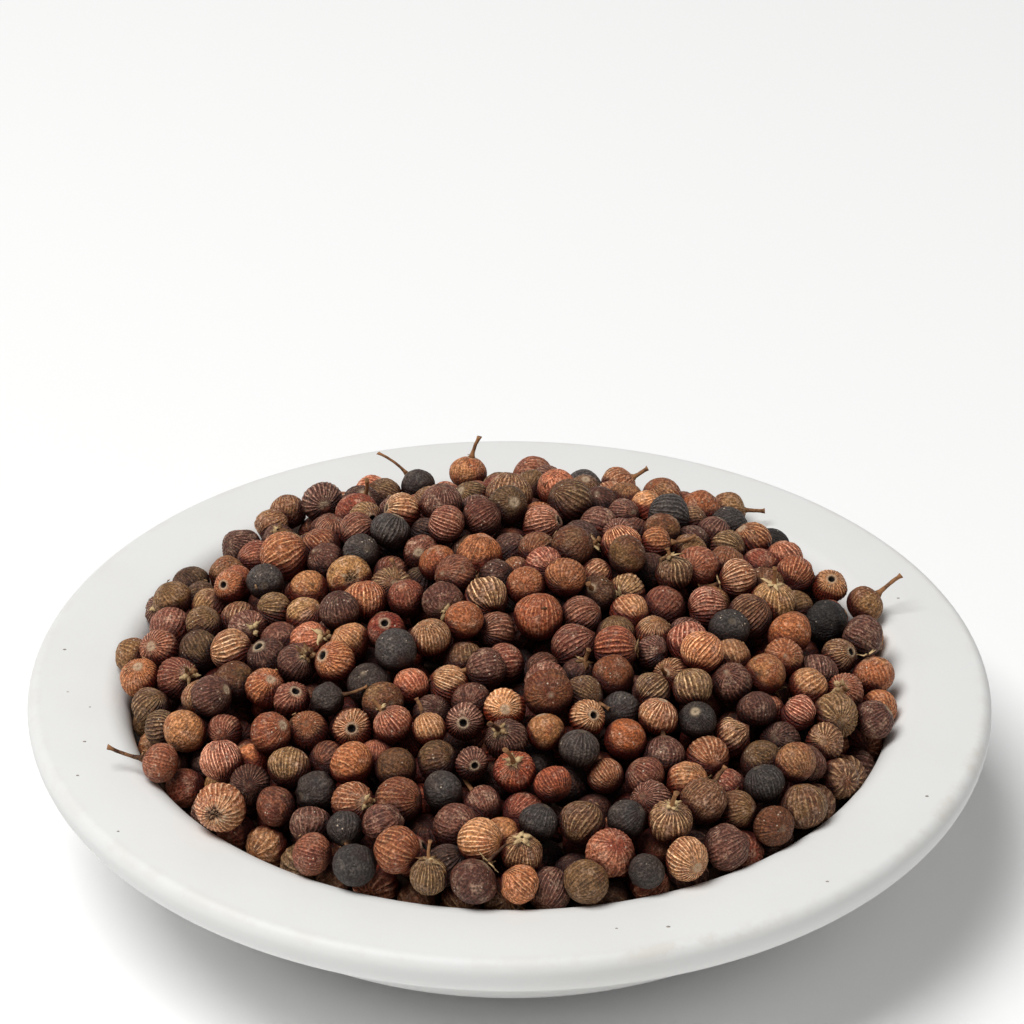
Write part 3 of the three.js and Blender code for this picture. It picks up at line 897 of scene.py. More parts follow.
CHOSEN: tuple[Chosen, ...] = (
    Chosen(-12, -5.2, 3.7, Hue.RED, End.HOLE, -95, 58, 0, 0.25, 0.42),
    Chosen(0.5, -24.5, 4.0, Hue.RED, End.STARRED_STALK, -100, 62, 3, 0.6, 0.5),
    Chosen(4, -25.8, 3.6, Hue.RED, End.BARE, 120, 10, 0, 0.5, 0.46),
    Chosen(-3.2, -37.5, 4.4, Hue.PLUM, End.STARRED_STALK, 36, 42, 2.8, 0.15, 0.45),
    Chosen(-7.2, -36.9, 3.5, Hue.OLIVE, End.STARRED_STALK, 90, 82, 1.6, 0.8, 0.36),
    Chosen(6.5, -21.6, 3.9, Hue.SLATE, End.BARE, 60, 70, 0, 0.5, 0.62),
    Chosen(23.8, -23.2, 3.8, Hue.SLATE, End.BARE, 150, 60, 0, 0.8, 0.4),
    Chosen(17.8, -15.8, 3.6, Hue.SLATE, End.SCAR, -110, 62, 0, 0.4, 0.42),
    Chosen(-17.3, -13.4, 3.2, Hue.SLATE, End.STALK, 8, 18, 2.4, 0.2, 0.55),
    Chosen(-24.4, 6.9, 3.8, Hue.SLATE, End.BARE, -90, 20, 0, 0.1, 0.62),
    Chosen(2.8, -30.2, 3.7, Hue.SLATE, End.BARE, 40, 60, 0, 0.4, 0.48),
    Chosen(10.8, -30, 3.6, Hue.SLATE, End.BARE, 0, 40, 0, 0.3, 0.5),
    Chosen(-14, -35, 4.0, Hue.SLATE, End.BARE, 60, 50, 0, 0.2, 0.42),
    Chosen(-15, -30.5, 3.5, Hue.SLATE, End.STALK, -85, -20, 1.2, 0.3, 0.4),
    Chosen(21.5, -1.2, 4.1, Hue.SLATE, End.BARE, -80, 60, 0, 0.1, 0.45),
    Chosen(12.5, -35.5, 3.3, Hue.SLATE, End.BARE, 30, 30, 0, 0.2, 0.42),
    Chosen(-4.2, -18.5, 3.7, Hue.PLUM, End.HOLE, -95, 28, 0, 1, 0.75),
    Chosen(-3.5, -23.5, 3.1, Hue.PLUM, End.HOLE, -75, 25, 0, 0.8, 0.6),
    Chosen(-14.8, -17.8, 3.7, Hue.TAWNY, End.HOLE, -90, 35, 0, 0.8, 0.55),
    Chosen(-20.8, -12.7, 3.5, Hue.RUDDY, End.HOLE, -55, 60, 0, 0.6, 0.5),
    Chosen(-16.8, -8.8, 4.1, Hue.RUSSET, End.HOLE, -150, 42, 0, 0.6, 0.62),
    Chosen(-11, 17, 3.8, Hue.TAWNY, End.HOLE, -165, 20, 0, 0.8, 0.66),
    Chosen(3.2, 15.5, 4.2, Hue.RUDDY, End.HOLE, -15, 25, 0, 1, 0.6),
    Chosen(7.3, -17.8, 3.5, Hue.TAWNY, End.HOLE, -60, 40, 0, 0.9, 0.62),
    Chosen(32.3, 12, 3.6, Hue.TAWNY, End.HOLE, -80, 62, 0, 0.6, 0.62),
    Chosen(35.2, -9.8, 4.0, Hue.PLUM, End.HOLE, 10, 35, 0, 0.4, 0.55),
    Chosen(-28, 7.5, 3.3, Hue.TAWNY, End.HOLE, -120, 35, 0, 0.3, 0.66),
    Chosen(-7.5, -19, 3.2, Hue.TAWNY, End.STALK, 130, 50, 1.6, 0.6, 0.6),
    Chosen(-3.2, 7.8, 4.7, Hue.RUSSET, End.BARE, 60, 75, 0, 0.3, 0.62),
    Chosen(-16, 6.5, 4.5, Hue.OLIVE, End.TORN, -80, 30, 0, 0.15, 0.98),
    Chosen(14.8, -30.2, 4.2, Hue.OLIVE, End.STARRED_STALK, -70, 80, 1.8, 0.8, 0.68),
    Chosen(1.2, -33.9, 3.8, Hue.OLIVE, End.STAR, -90, 80, 0, 0.8, 0.7),
    Chosen(-4.5, 34.5, 4.0, Hue.TAWNY, End.STALK, 55, 70, 2.2, 0.2, 0.62),
    Chosen(-9.8, 31.2, 3.6, Hue.SLATE, End.STALK, 150, 38, 3.6, 0.1, 0.55),
    Chosen(11.5, 34.8, 4.0, Hue.TAWNY, End.STALK, 10, 28, 1.6, 0.6, 0.55),
    Chosen(22.8, 29, 3.9, Hue.OLIVE, End.STALK, 0, 4, 2, 0.3, 0.6),
    Chosen(35.9, 10.8, 3.9, Hue.OLIVE, End.STALK, 25, 32, 2.8, 0.3, 0.55),
    Chosen(-33, -18, 3.8, Hue.RUDDY, End.STALK, 172, 10, 3.4, 0.4, 0.45),
    Chosen(14.7, 12.3, 3.4, Hue.RUSSET, End.STALK, 0, 6, 2.3, 0.6, 0.5),
    Chosen(-10.2, 1, 3.7, Hue.RUDDY, End.STARRED_STALK, 125, 50, 2.4, 0.3, 0.5),
    Chosen(22.8, 8.2, 4.0, Hue.TAWNY, End.STARRED_STALK, 195, -8, 2.2, 1, 0.6),
    Chosen(-26.8, -26.2, 4.7, Hue.TAWNY, End.TORN, -100, 15, 0, 0.7, 0.68),
    Chosen(-27, -20.2, 4.0, Hue.RUDDY, End.BARE, 100, 60, 0, 1, 0.82),
    Chosen(-18, -32.8, 4.0, Hue.RUDDY, End.BARE, 170, 10, 0, 0.4, 0.4),
    Chosen(-14.2, 1.5, 4.3, Hue.RUSSET, End.BARE, 95, 60, 0, 0.8, 0.66),
    Chosen(2.8, -2.5, 4.8, Hue.RUSSET, End.BARE, 80, 70, 0, 0.4, 0.6),
    Chosen(-6.5, -0.8, 4.2, Hue.PLUM, End.STAR, -80, 5, 0, 0.2, 0.62),
    Chosen(-2.2, -10.2, 4.1, Hue.PLUM, End.STALK, 184, -2, 2.4, 0.5, 0.62),
    Chosen(-12, -14.8, 4.2, Hue.OLIVE, End.BARE, -60, 30, 0, 0.1, 0.45),
    Chosen(1, -37.5, 3.6, Hue.RUSSET, End.BARE, 160, 40, 0, 0.6, 0.68),
    Chosen(14, -16.2, 3.9, Hue.TAWNY, End.SCAR, 40, 68, 0, 0.9, 0.62),
    Chosen(18, -26.8, 4.2, Hue.OLIVE, End.STALK, 45, 40, 1.6, 0.4, 0.52),
    Chosen(16.2, -34, 4.1, Hue.TAWNY, End.SCAR, -60, 5, 0, 0.9, 0.62),
    Chosen(27.5, 0, 4.6, Hue.RUSSET, End.BARE, 150, 30, 0, 0.2, 0.55),
    Chosen(11.1, 11.2, 4.1, Hue.RUSSET, End.BARE, 130, 45, 0, 1, 0.74),
    Chosen(16.2, 20.2, 4.6, Hue.SLATE, End.BARE, 170, 10, 0, 0.9, 0.6),
    Chosen(-0.2, 21.8, 4.9, Hue.OLIVE, End.BARE, 80, 60, 0, 0.7, 0.62),
    Chosen(-22.8, 12, 5.0, Hue.RUSSET, End.BARE, 20, 20, 0, 0.7, 0.56),
    Chosen(-27.2, -3.2, 4.2, Hue.TAWNY, End.STALK, 5, 8, 2, 0.9, 0.55),
    Chosen(-36.2, -3.8, 3.9, Hue.RUSSET, End.SCAR, -95, 68, 0, 0.6, 0.66),
    Chosen(35, 2.8, 4.2, Hue.PLUM, End.BARE, 150, 20, 0, 0.5, 0.56),
    Chosen(10.2, -6.8, 4.2, Hue.RED, End.STAR, -10, 10, 0, 1, 0.38),
    Chosen(-37.4, 1, 3.6, Hue.OLIVE, End.BARE, 160, 20, 0, 0.3, 0.56),
)


@dataclass
class Layer:
    """The berries' centres and radii after settling, in millimetres."""

    centres: np.ndarray
    radii: np.ndarray
    depths: np.ndarray


@dataclass
class Settling:
    """The rule that lays the berries on one another, the same as for the heap's solid."""

    dish: Dish
    edge_rise: float = 0.9
    dome_rise: float = 6.8
    top_back: float = 10.0
    edge_inset: float = 1.5
    berry_diameter: float = 3.95
    berry_spread: float = 0.25
    radius_range: tuple[float, float] = (1.6, 2.45)
    berry_count: int = 550
    chosen_rise: float = 1.2
    seed: int = 7
    draw_factor: int = 1664525
    draw_step: int = 1013904223
    draw_range: int = 2 ** 32
    golden_angle: float = 2.399963
    start_inset: float = 2.0
    start_scatter: float = 1.5
    start_rise: float = 2.0
    start_spread: float = 6.0
    steps: int = 160
    rounds: int = 3
    pulls: tuple[float, float] = (0.14, 0.05)
    early_share: float = 0.6
    floor_depth: float = 5.4
    push: float = 0.42
    pair_reach: float = 1.6
    pair_steps: int = 8
    lid: float = 2.0
    clearance: float = 0.1
    heap_reach: float = 37.7
    under_chosen: float = 0.8
    slope_step: float = 0.05

    def height(self, x: np.ndarray, y: np.ndarray) -> np.ndarray:
        """Mean height of the uppermost centres.

        Args:
            x: Places from left to right.
            y: Places from front to back.

        Returns:
            The heights.
        """
        edge = self.dish.well_radius - self.edge_inset
        back = y - self.top_back
        distance = np.hypot(x, back) + TINY
        along = self.top_back * back / distance
        reach = -along + np.sqrt(along * along - self.top_back * self.top_back + edge * edge)
        share = distance / reach
        swell = (0.55 * np.sin(0.21 * x + 0.9) * np.sin(0.25 * y + 0.4)
                 + 0.35 * np.sin(0.13 * x - 0.34 * y + 2.2))
        return self.dish.height + self.edge_rise + self.dome_rise * (1 - share * share) + swell

    def floor(self, x: np.ndarray, y: np.ndarray) -> np.ndarray:
        """Height that the lowest layer rests on.

        Args:
            x: Places from left to right.
            y: Places from front to back.

        Returns:
            The heights.
        """
        waves = (0.5 * np.sin(0.33 * x + 1.1) * np.sin(0.29 * y - 0.4)
                 + 0.4 * np.sin(0.19 * x - 0.31 * y + 2))
        return self.height(x, y) - self.floor_depth + waves

    def normals(self, centres: np.ndarray) -> np.ndarray:
        """Upward normals of the heap's mean surface.

        Args:
            centres: Where they are taken.

        Returns:
            One unit vector a row.
        """
        x, y = centres[:, 0], centres[:, 1]
        step = self.slope_step
        slope_x = (self.height(x + step, y) - self.height(x - step, y)) / (2 * step)
        slope_y = (self.height(x, y + step) - self.height(x, y - step)) / (2 * step)
        normals = np.column_stack([-slope_x, -slope_y, np.ones(len(x))])
        return normals / np.linalg.norm(normals, axis=1)[:, None]

    def start(self) -> tuple[np.ndarray, np.ndarray]:
        """Places the chosen berries, then the loose ones on a sunflower spiral.

        Returns:
            The centres and the radii.
        """
        state = self.seed

        def draw() -> float:
            """Next number between 0 and 1."""
            nonlocal state
            state = (state * self.draw_factor + self.draw_step) % self.draw_range
            return state / self.draw_range

        centres = [(c.x, c.y, float(self.height(c.x, c.y)) + self.chosen_rise) for c in CHOSEN]
        radii = [c.across / 2 for c in CHOSEN]
        for i in range(self.berry_count):
            out = (self.dish.well_radius - self.start_inset) * math.sqrt((i + 0.5) / self.berry_count)
            x = out * math.cos(i * self.golden_angle) + self.start_scatter * (draw() - 0.5)
            y = out * math.sin(i * self.golden_angle) + self.start_scatter * (draw() - 0.5)
            total = draw() + draw() + draw() + draw() - 2
            low, high = self.radius_range
            radius = min(max(self.berry_diameter / 2 + self.berry_spread * total, low), high)
            layer = self.start_spread * draw()
            covered = any(
                math.hypot(c.x - x, c.y - y) < self.under_chosen * (c.across / 2 + radius)
                for c in CHOSEN
            )
            base = float(self.height(x, y)) - self.floor_depth
            centres.append((x, y, base + (0 if covered else self.start_rise + layer)))
            radii.append(radius)
        return np.array(centres), np.array(radii)

    def contain(self, centres: np.ndarray, radii: np.ndarray, normals: np.ndarray) -> np.ndarray:
        """Keeps berries over the floor, under the lid, off the dish and in the outline.

        Args:
            centres: Where the berries are.
            radii: Their radii.
            normals: The heap's normals at them.

        Returns:
            Where they are then.
        """
        kept = centres.copy()
        gap = (kept[:, 2] - self.floor(kept[:, 0], kept[:, 1])) * normals[:, 2] - radii
        kept += normals * np.maximum(-gap, 0)[:, None]
        kept[:, 2] = np.minimum(kept[:, 2], self.height(kept[:, 0], kept[:, 1]) + self.lid)
        out = np.hypot(kept[:, 0], kept[:, 1]) + TINY
        dish = self.dish
        inward = np.maximum(dish.well_radius + dish.shoulder_round - out, 0)
        above = np.maximum(kept[:, 2] - (dish.height - dish.shoulder_round), 0)
        distance = np.hypot(inward, above)
        push = np.maximum(radii + self.clearance + dish.shoulder_round - distance, 0)
        kept[:, :2] -= kept[:, :2] * (push * inward / distance / out)[:, None]
        kept[:, 2] += push * above / distance
        share = np.minimum(1, self.heap_reach / (np.hypot(kept[:, 0], kept[:, 1]) + TINY))
        kept[:, :2] *= share[:, None]
        return kept

    def settle(self) -> Layer:
        """Settles the loose berries under a steady pull.

        Returns:
            All berries, the chosen ones first.
        """
        centres, radii = self.start()
        count = len(radii)
        fixed = np.arange(count) < len(CHOSEN)
        loose = ~fixed
        centres[fixed] = self.contain(centres, radii, self.normals(centres))[fixed]
        for step in range(self.steps):
            if step % self.pair_steps == 0:
                apart = np.linalg.norm(centres[:, None] - centres[None], axis=-1)
                near = apart < radii[:, None] + radii[None] + self.pair_reach
                one, other = np.nonzero(np.triu(near, 1))
                give_one = self.push * np.where(fixed[other], 2, 1)
                give_other = self.push * np.where(fixed[one], 2, 1)
            normals = self.normals(centres)
            pull = self.pulls[0] if step < self.steps * self.early_share else self.pulls[1]
            centres[loose] -= pull * normals[loose]
            for _ in range(self.rounds):
                between = centres[one] - centres[other]
                length = np.linalg.norm(between, axis=1) + TINY
                overlap = np.maximum(radii[one] + radii[other] - length, 0) / length
                move = np.column_stack([
                    np.bincount(one, give_one * overlap * between[:, axis], count)
                    - np.bincount(other, give_other * overlap * between[:, axis], count)
                    for axis in range(3)
                ])
                centres[loose] += move[loose]
                centres[loose] = self.contain(centres, radii, normals)[loose]
        depths = self.height(centres[:, 0], centres[:, 1]) - centres[:, 2]
        return Layer(centres, radii, depths)


# ---------------------------------------------------------------------------------------------
# Heap: the berries
# ---------------------------------------------------------------------------------------------


@dataclass
class Berry:
    """One settled berry, in millimetres."""

    centre: np.ndarray
    radius: float
    hue: Hue
    end: End
    direction: np.ndarray
    stalk: float
    stripes: float
    light: float
    upper: bool


def turned_to(direction: np.ndarray, roll: float) -> np.ndarray:
    """Rotation that takes +Z to a direction.

    Args:
        direction: Unit vector.
        roll: Turn about it in radians.

    Returns:
        The 3 by 3 rotation.
    """
    turn = Vector(direction).to_track_quat("Z", "Y").to_matrix() @ Matrix.Rotation(roll, 3, "Z")
    return np.array(turn)


def heading_vector(heading: float, slope: float) -> np.ndarray:
    """Unit vector of a heading from +X and a slope above the level.

    Args:
        heading: Degrees from +X towards +Y.
        slope: Degrees above the level.

    Returns:
        The unit vector.
    """
    turn, rise = math.radians(heading), math.radians(slope)
    return np.array([math.cos(rise) * math.cos(turn), math.cos(rise) * math.sin(turn), math.sin(rise)])


@cache
def berry_faces(sides: int, rings: int) -> tuple[np.ndarray, np.ndarray, np.ndarray]:
    """Faces of a berry between its two poles.

    Args:
        sides: Vertices in a ring.
        rings: Number of rings.

    Returns:
        The quads, the faces at the stalk's end and those at the tip.
    """
    one = np.arange(sides)
    other = (one + 1) % sides
    upper = 1 + np.arange(rings - 1)[:, None] * sides
    lower = upper + sides
    quads = np.stack([upper + one, lower + one, lower + other, upper + other], -1).reshape(-1, 4)
    last = 1 + (rings - 1) * sides
    base = np.column_stack([np.zeros(sides, int), 1 + one, 1 + other])
    tip = np.column_stack([np.full(sides, last + sides), last + other, last + one])
    return quads, base, tip


@dataclass(frozen=True)
class EndShape:
    """Relief and paint at a stalk's end: the pole, then the first five rings round it.

    The rise is in shares of half the berry's radius, and dark and pale are shares of the paint.
    """

    rise: tuple[float, ...]
    dark: tuple[float, ...]
    pale: tuple[float, ...]
    uneven: float = 0.01


BARE_END = EndShape((-0.05, -0.04, -0.02, 0, 0.01, 0), (0.2, 0.1, 0, 0, 0, 0), (0.2, 0.2, 0.1, 0, 0, 0))
SCAR_END = EndShape((-0.04, -0.02, 0.02, 0.03, 0.01, 0), (0.3, 0, 0, 0, 0, 0), (0.5, 0.9, 0.8, 0.5, 0.15, 0))
# A hole's sunk pole and first rings take the full dark share, painted shade for the hole's depth.
HOLE_END = EndShape((-0.6, -0.55, -0.2, 0.05, 0.03, 0), (1, 1, 1, 0.05, 0, 0), (0, 0, 0, 1, 0.6, 0), 0.03)
TORN_END = EndShape((-0.32, -0.3, -0.24, -0.2, -0.1, 0), (0.7, 0.6, 0.5, 0.4, 0.3, 0), (0.2,) * 6, 0.12)
STAR_END = EndShape((-0.02, 0, 0.02, 0.03, 0.01, 0), (0,) * 6, (0.6, 0.6, 0.6, 0.5, 0.35, 0.12))

END_SHAPES: dict[End, EndShape] = {
    End.BARE: BARE_END,
    End.SCAR: SCAR_END,
    End.HOLE: HOLE_END,
    End.TORN: TORN_END,
    End.STAR: STAR_END,
    End.STALK: SCAR_END,
    End.STARRED_STALK: STAR_END,
}


@dataclass
class BerryShape:
    """Works out the mesh of a single berry from its draws, in millimetres and radians.

    Odds belong to the options in the same order, and a pair of numbers is the range of a draw.
    """

    layer: Layer
    base_angles: tuple[float, ...] = (0.10, 0.185, 0.23, 0.285, 0.40)
    tip_angles: tuple[float, ...] = (0.36, 0.20, 0.09)
    middle_start: float = 0.56
    middle_rings: int = 9
    lower_rings: int = 7
    lower_sides: int = 28
    ridge_counts: tuple[int, int] = (25, 33)
    ridge_depth: float = 0.032
    ridge_heights: tuple[float, float] = (0.4, 1.3)
    ridge_scatter: float = 0.3
    sway: float = 0.22
    double_sway: float = 0.08
    flattening: tuple[float, float] = (0.87, 1.0)
    beaks: tuple[float, ...] = (0.04, 0.12, 0.26)
    beak_odds: tuple[float, ...] = (0.5, 0.3, 0.2)
    beak_rise: tuple[float, ...] = (0.0, 0.18, 0.6)
    tip_paints: tuple[float, float] = (0.2, 0.8)
    tip_fade: float = 0.3
    warmths: tuple[float, float] = (0.1, 0.9)
    wave_count: int = 5
    waves: tuple[float, float] = (1.2, 2.6)
    wave_heights: tuple[float, float] = (0.012, 0.042)
    dent_odds: tuple[float, ...] = (0.7, 0.22, 0.08)
    dent_depths: tuple[float, float] = (0.06, 0.2)
    dent_widths: tuple[float, float] = (0.25, 0.6)
    crumples: tuple[float, float] = (0.01, 0.036)
    crumple_odds: tuple[float, float] = (0.88, 0.12)
    crumple_waves: float = 5.0
    near_reach: float = 9.0
    shade_range: tuple[float, float] = (0.3, 0.95)
    pattern_step: float = 37.0

    def angles(self, upper: bool) -> np.ndarray:
        """Polar angles of the rings.

        Args:
            upper: True for a berry that shows.

        Returns:
            The angles from the stalk's end.
        """
        if not upper:
            return np.linspace(0, np.pi, self.lower_rings + 2)[1:-1]
        middle = np.linspace(self.middle_start, np.pi - self.middle_start, self.middle_rings)
        return np.array([*self.base_angles, *middle, *(np.pi - angle for angle in self.tip_angles)])

    def stalk_end(
        self, berry: Berry, sides: int, rng: np.random.Generator
    ) -> tuple[np.ndarray, np.ndarray, np.ndarray]:
        """Relief and paint at the stalk's end of a berry that shows.

        Args:
            berry: The berry.
            sides: Vertices in a ring.
            rng: Source of draws.

        Returns:
            Offsets, dark shares and pale shares, one row for the pole and for each first ring.
        """
        shape = END_SHAPES[berry.end]
        offsets, dark, pale = (
            np.tile(np.array(row, float), (sides, 1)).T.copy()
            for row in (shape.rise, shape.dark, shape.pale)
        )
        rough = rng.uniform(-1, 1, offsets.shape)
        rough = (rough + np.roll(rough, 1, 1) + np.roll(rough, 2, 1)) / 1.8
        offsets[1:5] += shape.uneven * rough[1:5]
        if berry.end is End.TORN:
            dark[1:5] = np.clip(dark[1:5] - 0.8 * rough[1:5], 0, 1)
            pale[1:6] = np.clip(pale[1:6] + 0.9 * rough[1:6], 0, 0.8)
        return offsets, dark, pale

    def shape_stalk_end(
        self,
        berry: Berry,
        local: np.ndarray,
        places: np.ndarray,
        poles: np.ndarray,
        paint: np.ndarray,
        rng: np.random.Generator,
    ) -> None:
        """Raises or sinks the skin round the stalk's end, and paints it.

        Args:
            berry: The berry.
            local: Directions of its vertices, ring by ring.
            places: Its vertices, ring by ring, which are moved.
            poles: Its two poles, of which the first is moved.
            paint: Paint of its vertices, which is filled in.
            rng: Source of draws.
        """
        offsets, dark, pale = self.stalk_end(berry, places.shape[1], rng)
        size = berry.radius / 2
        poles[0, 2] += offsets[0, 0] * size
        for i in range(1, len(offsets)):
            places[i - 1] += local[i - 1] * (offsets[i] * size)[:, None]
        paint[0, :2] = dark[0, 0], pale[0, 0]
        first_rings = slice(1, 1 + dark[1:].size)
        paint[first_rings, 0] = dark[1:].ravel()
        paint[first_rings, 1] = pale[1:].ravel()

    def shape_tip(
        self,
        local: np.ndarray,
        places: np.ndarray,
        poles: np.ndarray,
        paint: np.ndarray,
        rng: np.random.Generator,
    ) -> None:
        """Draws out the tip into a small beak, and paints it pale.

        Args:
            local: Directions of the berry's vertices, ring by ring.
            places: Its vertices, ring by ring, which are moved.
            poles: Its two poles, of which the second is moved.
            paint: Paint of its vertices, which is filled in.
            rng: Source of draws.
        """
        rings, sides = places.shape[:2]
        beak = rng.choice(self.beaks, p=self.beak_odds)
        for i, share in enumerate(self.beak_rise, rings - len(self.beak_rise)):
            places[i] += local[i] * beak * share
        poles[1, 2] -= beak
        paint[-1, 1] = rng.choice(self.tip_paints)
        paint[-1 - sides:-1, 1] = paint[-1, 1] * self.tip_fade

    def build(self, berry: Berry, number: int, rng: np.random.Generator, buffer: MeshBuffer) -> None:
        """Adds a berry to a piece.

        Args:
            berry: The berry.
            number: Its place in the heap, which moves its skin's pattern.
            rng: Source of draws.
            buffer: Piece that it is added to.
        """
        sides = 2 * int(rng.integers(*self.ridge_counts)) if berry.upper else self.lower_sides
        polar = self.angles(berry.upper)
        rings = len(polar)
        ring = polar[:, None]
        turn = (np.arange(sides) * 2 * np.pi / sides)[None]
        sway = rng.uniform(-self.sway, self.sway) * np.sin(ring)
        sway = sway + rng.uniform(-self.double_sway, self.double_sway) * np.sin(2 * ring)
        scatter = rng.uniform(-self.ridge_scatter, self.ridge_scatter, sides // 2)
        jitter = np.repeat(scatter, 2) * 2 * np.pi / sides
        azimuth = turn + jitter[None] + sway * np.sin(turn + rng.uniform(*ANY_TURN)) + sway
        waist = np.sin(ring)
        local = np.stack([waist * np.cos(azimuth), waist * np.sin(azimuth), np.cos(ring) + 0 * turn], -1)
        raised = self.relief(berry, local, waist, sides, rng)
        local[..., 2] *= rng.uniform(*self.flattening)
        places = local * (berry.radius + raised)[..., None]
        poles = np.array([[0, 0, 1.0], [0, 0, -1.0]]) * np.abs(places[[0, -1], :, 2]).mean(1)[:, None]
        paint = np.zeros((rings * sides + 2, 3))
        if berry.upper:
            self.shape_stalk_end(berry, local, places, poles, paint, rng)
            self.shape_tip(local, places, poles, paint, rng)
        points = np.concatenate([poles[:1], places.reshape(-1, 3), poles[1:]])
        points = points @ turned_to(berry.direction, rng.uniform(*ANY_TURN)).T + berry.centre
        # Painted shade: the paint's third share darkens the skin where the berries around close in.
        paint[:, 2] = self.painted_crowd_shade(berry, points)
        tone = (berry.light, rng.uniform(*self.warmths), berry.stripes)
        buffer.add(points, berry_faces(sides, rings), tone, paint, self.skins(sides, polar, number))

    def painted_crowd_shade(self, berry: Berry, points: np.ndarray) -> np.ndarray:
        """How far the berries around close in on each point of a skin, which sets its painted shade.

        Args:
            berry: Berry that the skin belongs to.
            points: Points on the skin.

        Returns:
            Share from 0 in the open to 1 in the gaps.
        """
        apart = np.linalg.norm(self.layer.centres - berry.centre, axis=1)
        near = (apart > TINY) & (apart < self.near_reach)
        outward = points - berry.centre
        outward /= np.linalg.norm(outward, axis=1)[:, None]
        towards = self.layer.centres[near][None] - points[:, None]
        distance = np.linalg.norm(towards, axis=2)
        facing = np.maximum(np.einsum("ijk,ik->ij", towards, outward) / distance, 0)
        covered = (facing * np.minimum(self.layer.radii[near][None] / distance, 1) ** 2).sum(axis=1)
        low, high = self.shade_range
        return np.clip((covered - low) / (high - low), 0, 1)

    def relief(
        self, berry: Berry, local: np.ndarray, waist: np.ndarray, sides: int, rng: np.random.Generator
    ) -> np.ndarray:
        """Ridges, lumps and dents of a berry's skin.

        Args:
            berry: The berry.
            local: Unit directions of its vertices.
            waist: Sines of the rings' polar angles.
            sides: Vertices in a ring.
            rng: Source of draws.

        Returns:
            How far each vertex is raised, in millimetres.
        """
        heights = np.repeat(rng.uniform(*self.ridge_heights, sides // 2), 2)
        ridge = np.where(np.arange(sides) % 2 == 0, 1.0, -1.0) * heights
        short = np.arange(sides) % 4 >= 2
        fade = np.clip((waist - 0.15) / 0.5, 0, 1)
        late = np.clip((waist - 0.5) / 0.3, 0, 1)
        depth = self.ridge_depth * (0.25 + berry.stripes)
        raised = depth * ridge[None] * np.where(short[None], late, fade)
        for _ in range(self.wave_count):
            wave = rng.normal(size=3) * rng.choice(self.waves)
            height = rng.uniform(*self.wave_heights)
            raised = raised + height * np.sin(local @ wave + rng.uniform(*ANY_TURN))
        for _ in range(int(rng.choice(len(self.dent_odds), p=self.dent_odds))):
            side = rng.normal(size=3)
            side /= np.linalg.norm(side)
            angle = np.arccos(np.clip(local @ side, -1, 1))
            dent = rng.uniform(*self.dent_depths)
            raised = raised - dent * np.exp(-(angle / rng.uniform(*self.dent_widths)) ** 2)
        crumple = rng.choice(self.crumples, p=self.crumple_odds)
        for _ in range(self.wave_count):
            wave = rng.normal(size=3) * self.crumple_waves
            raised = raised + crumple * np.sin(local @ wave + rng.uniform(*ANY_TURN))
        return raised

    def skins(self, sides: int, polar: np.ndarray, number: int) -> list[np.ndarray]:
        """Skin coordinates: ridges counted round the berry, and the share from pole to pole.

        Args:
            sides: Vertices in a ring.
            polar: Polar angles of the rings.
            number: Place of the berry in the heap.

        Returns:
            One array for each array of faces.
        """
        def ring_of(*corners: tuple[np.ndarray, float]) -> np.ndarray:
            """Skin coordinates of one ring of faces, from those of a face's corners."""
            return np.stack([np.column_stack([u, np.full(sides, v)]) for u, v in corners], 1)

        one = number * self.pattern_step + np.arange(sides) / 2
        other = one + 0.5
        middle = (one + other) / 2
        along = polar / np.pi
        quads = [
            ring_of((one, high), (one, low), (other, low), (other, high))
            for high, low in zip(along[:-1], along[1:])
        ]
        base = ring_of((middle, 0.0), (one, along[0]), (other, along[0]))
        tip = ring_of((middle, 1.0), (other, along[-1]), (one, along[-1]))
        return [np.concatenate(quads), base, tip]


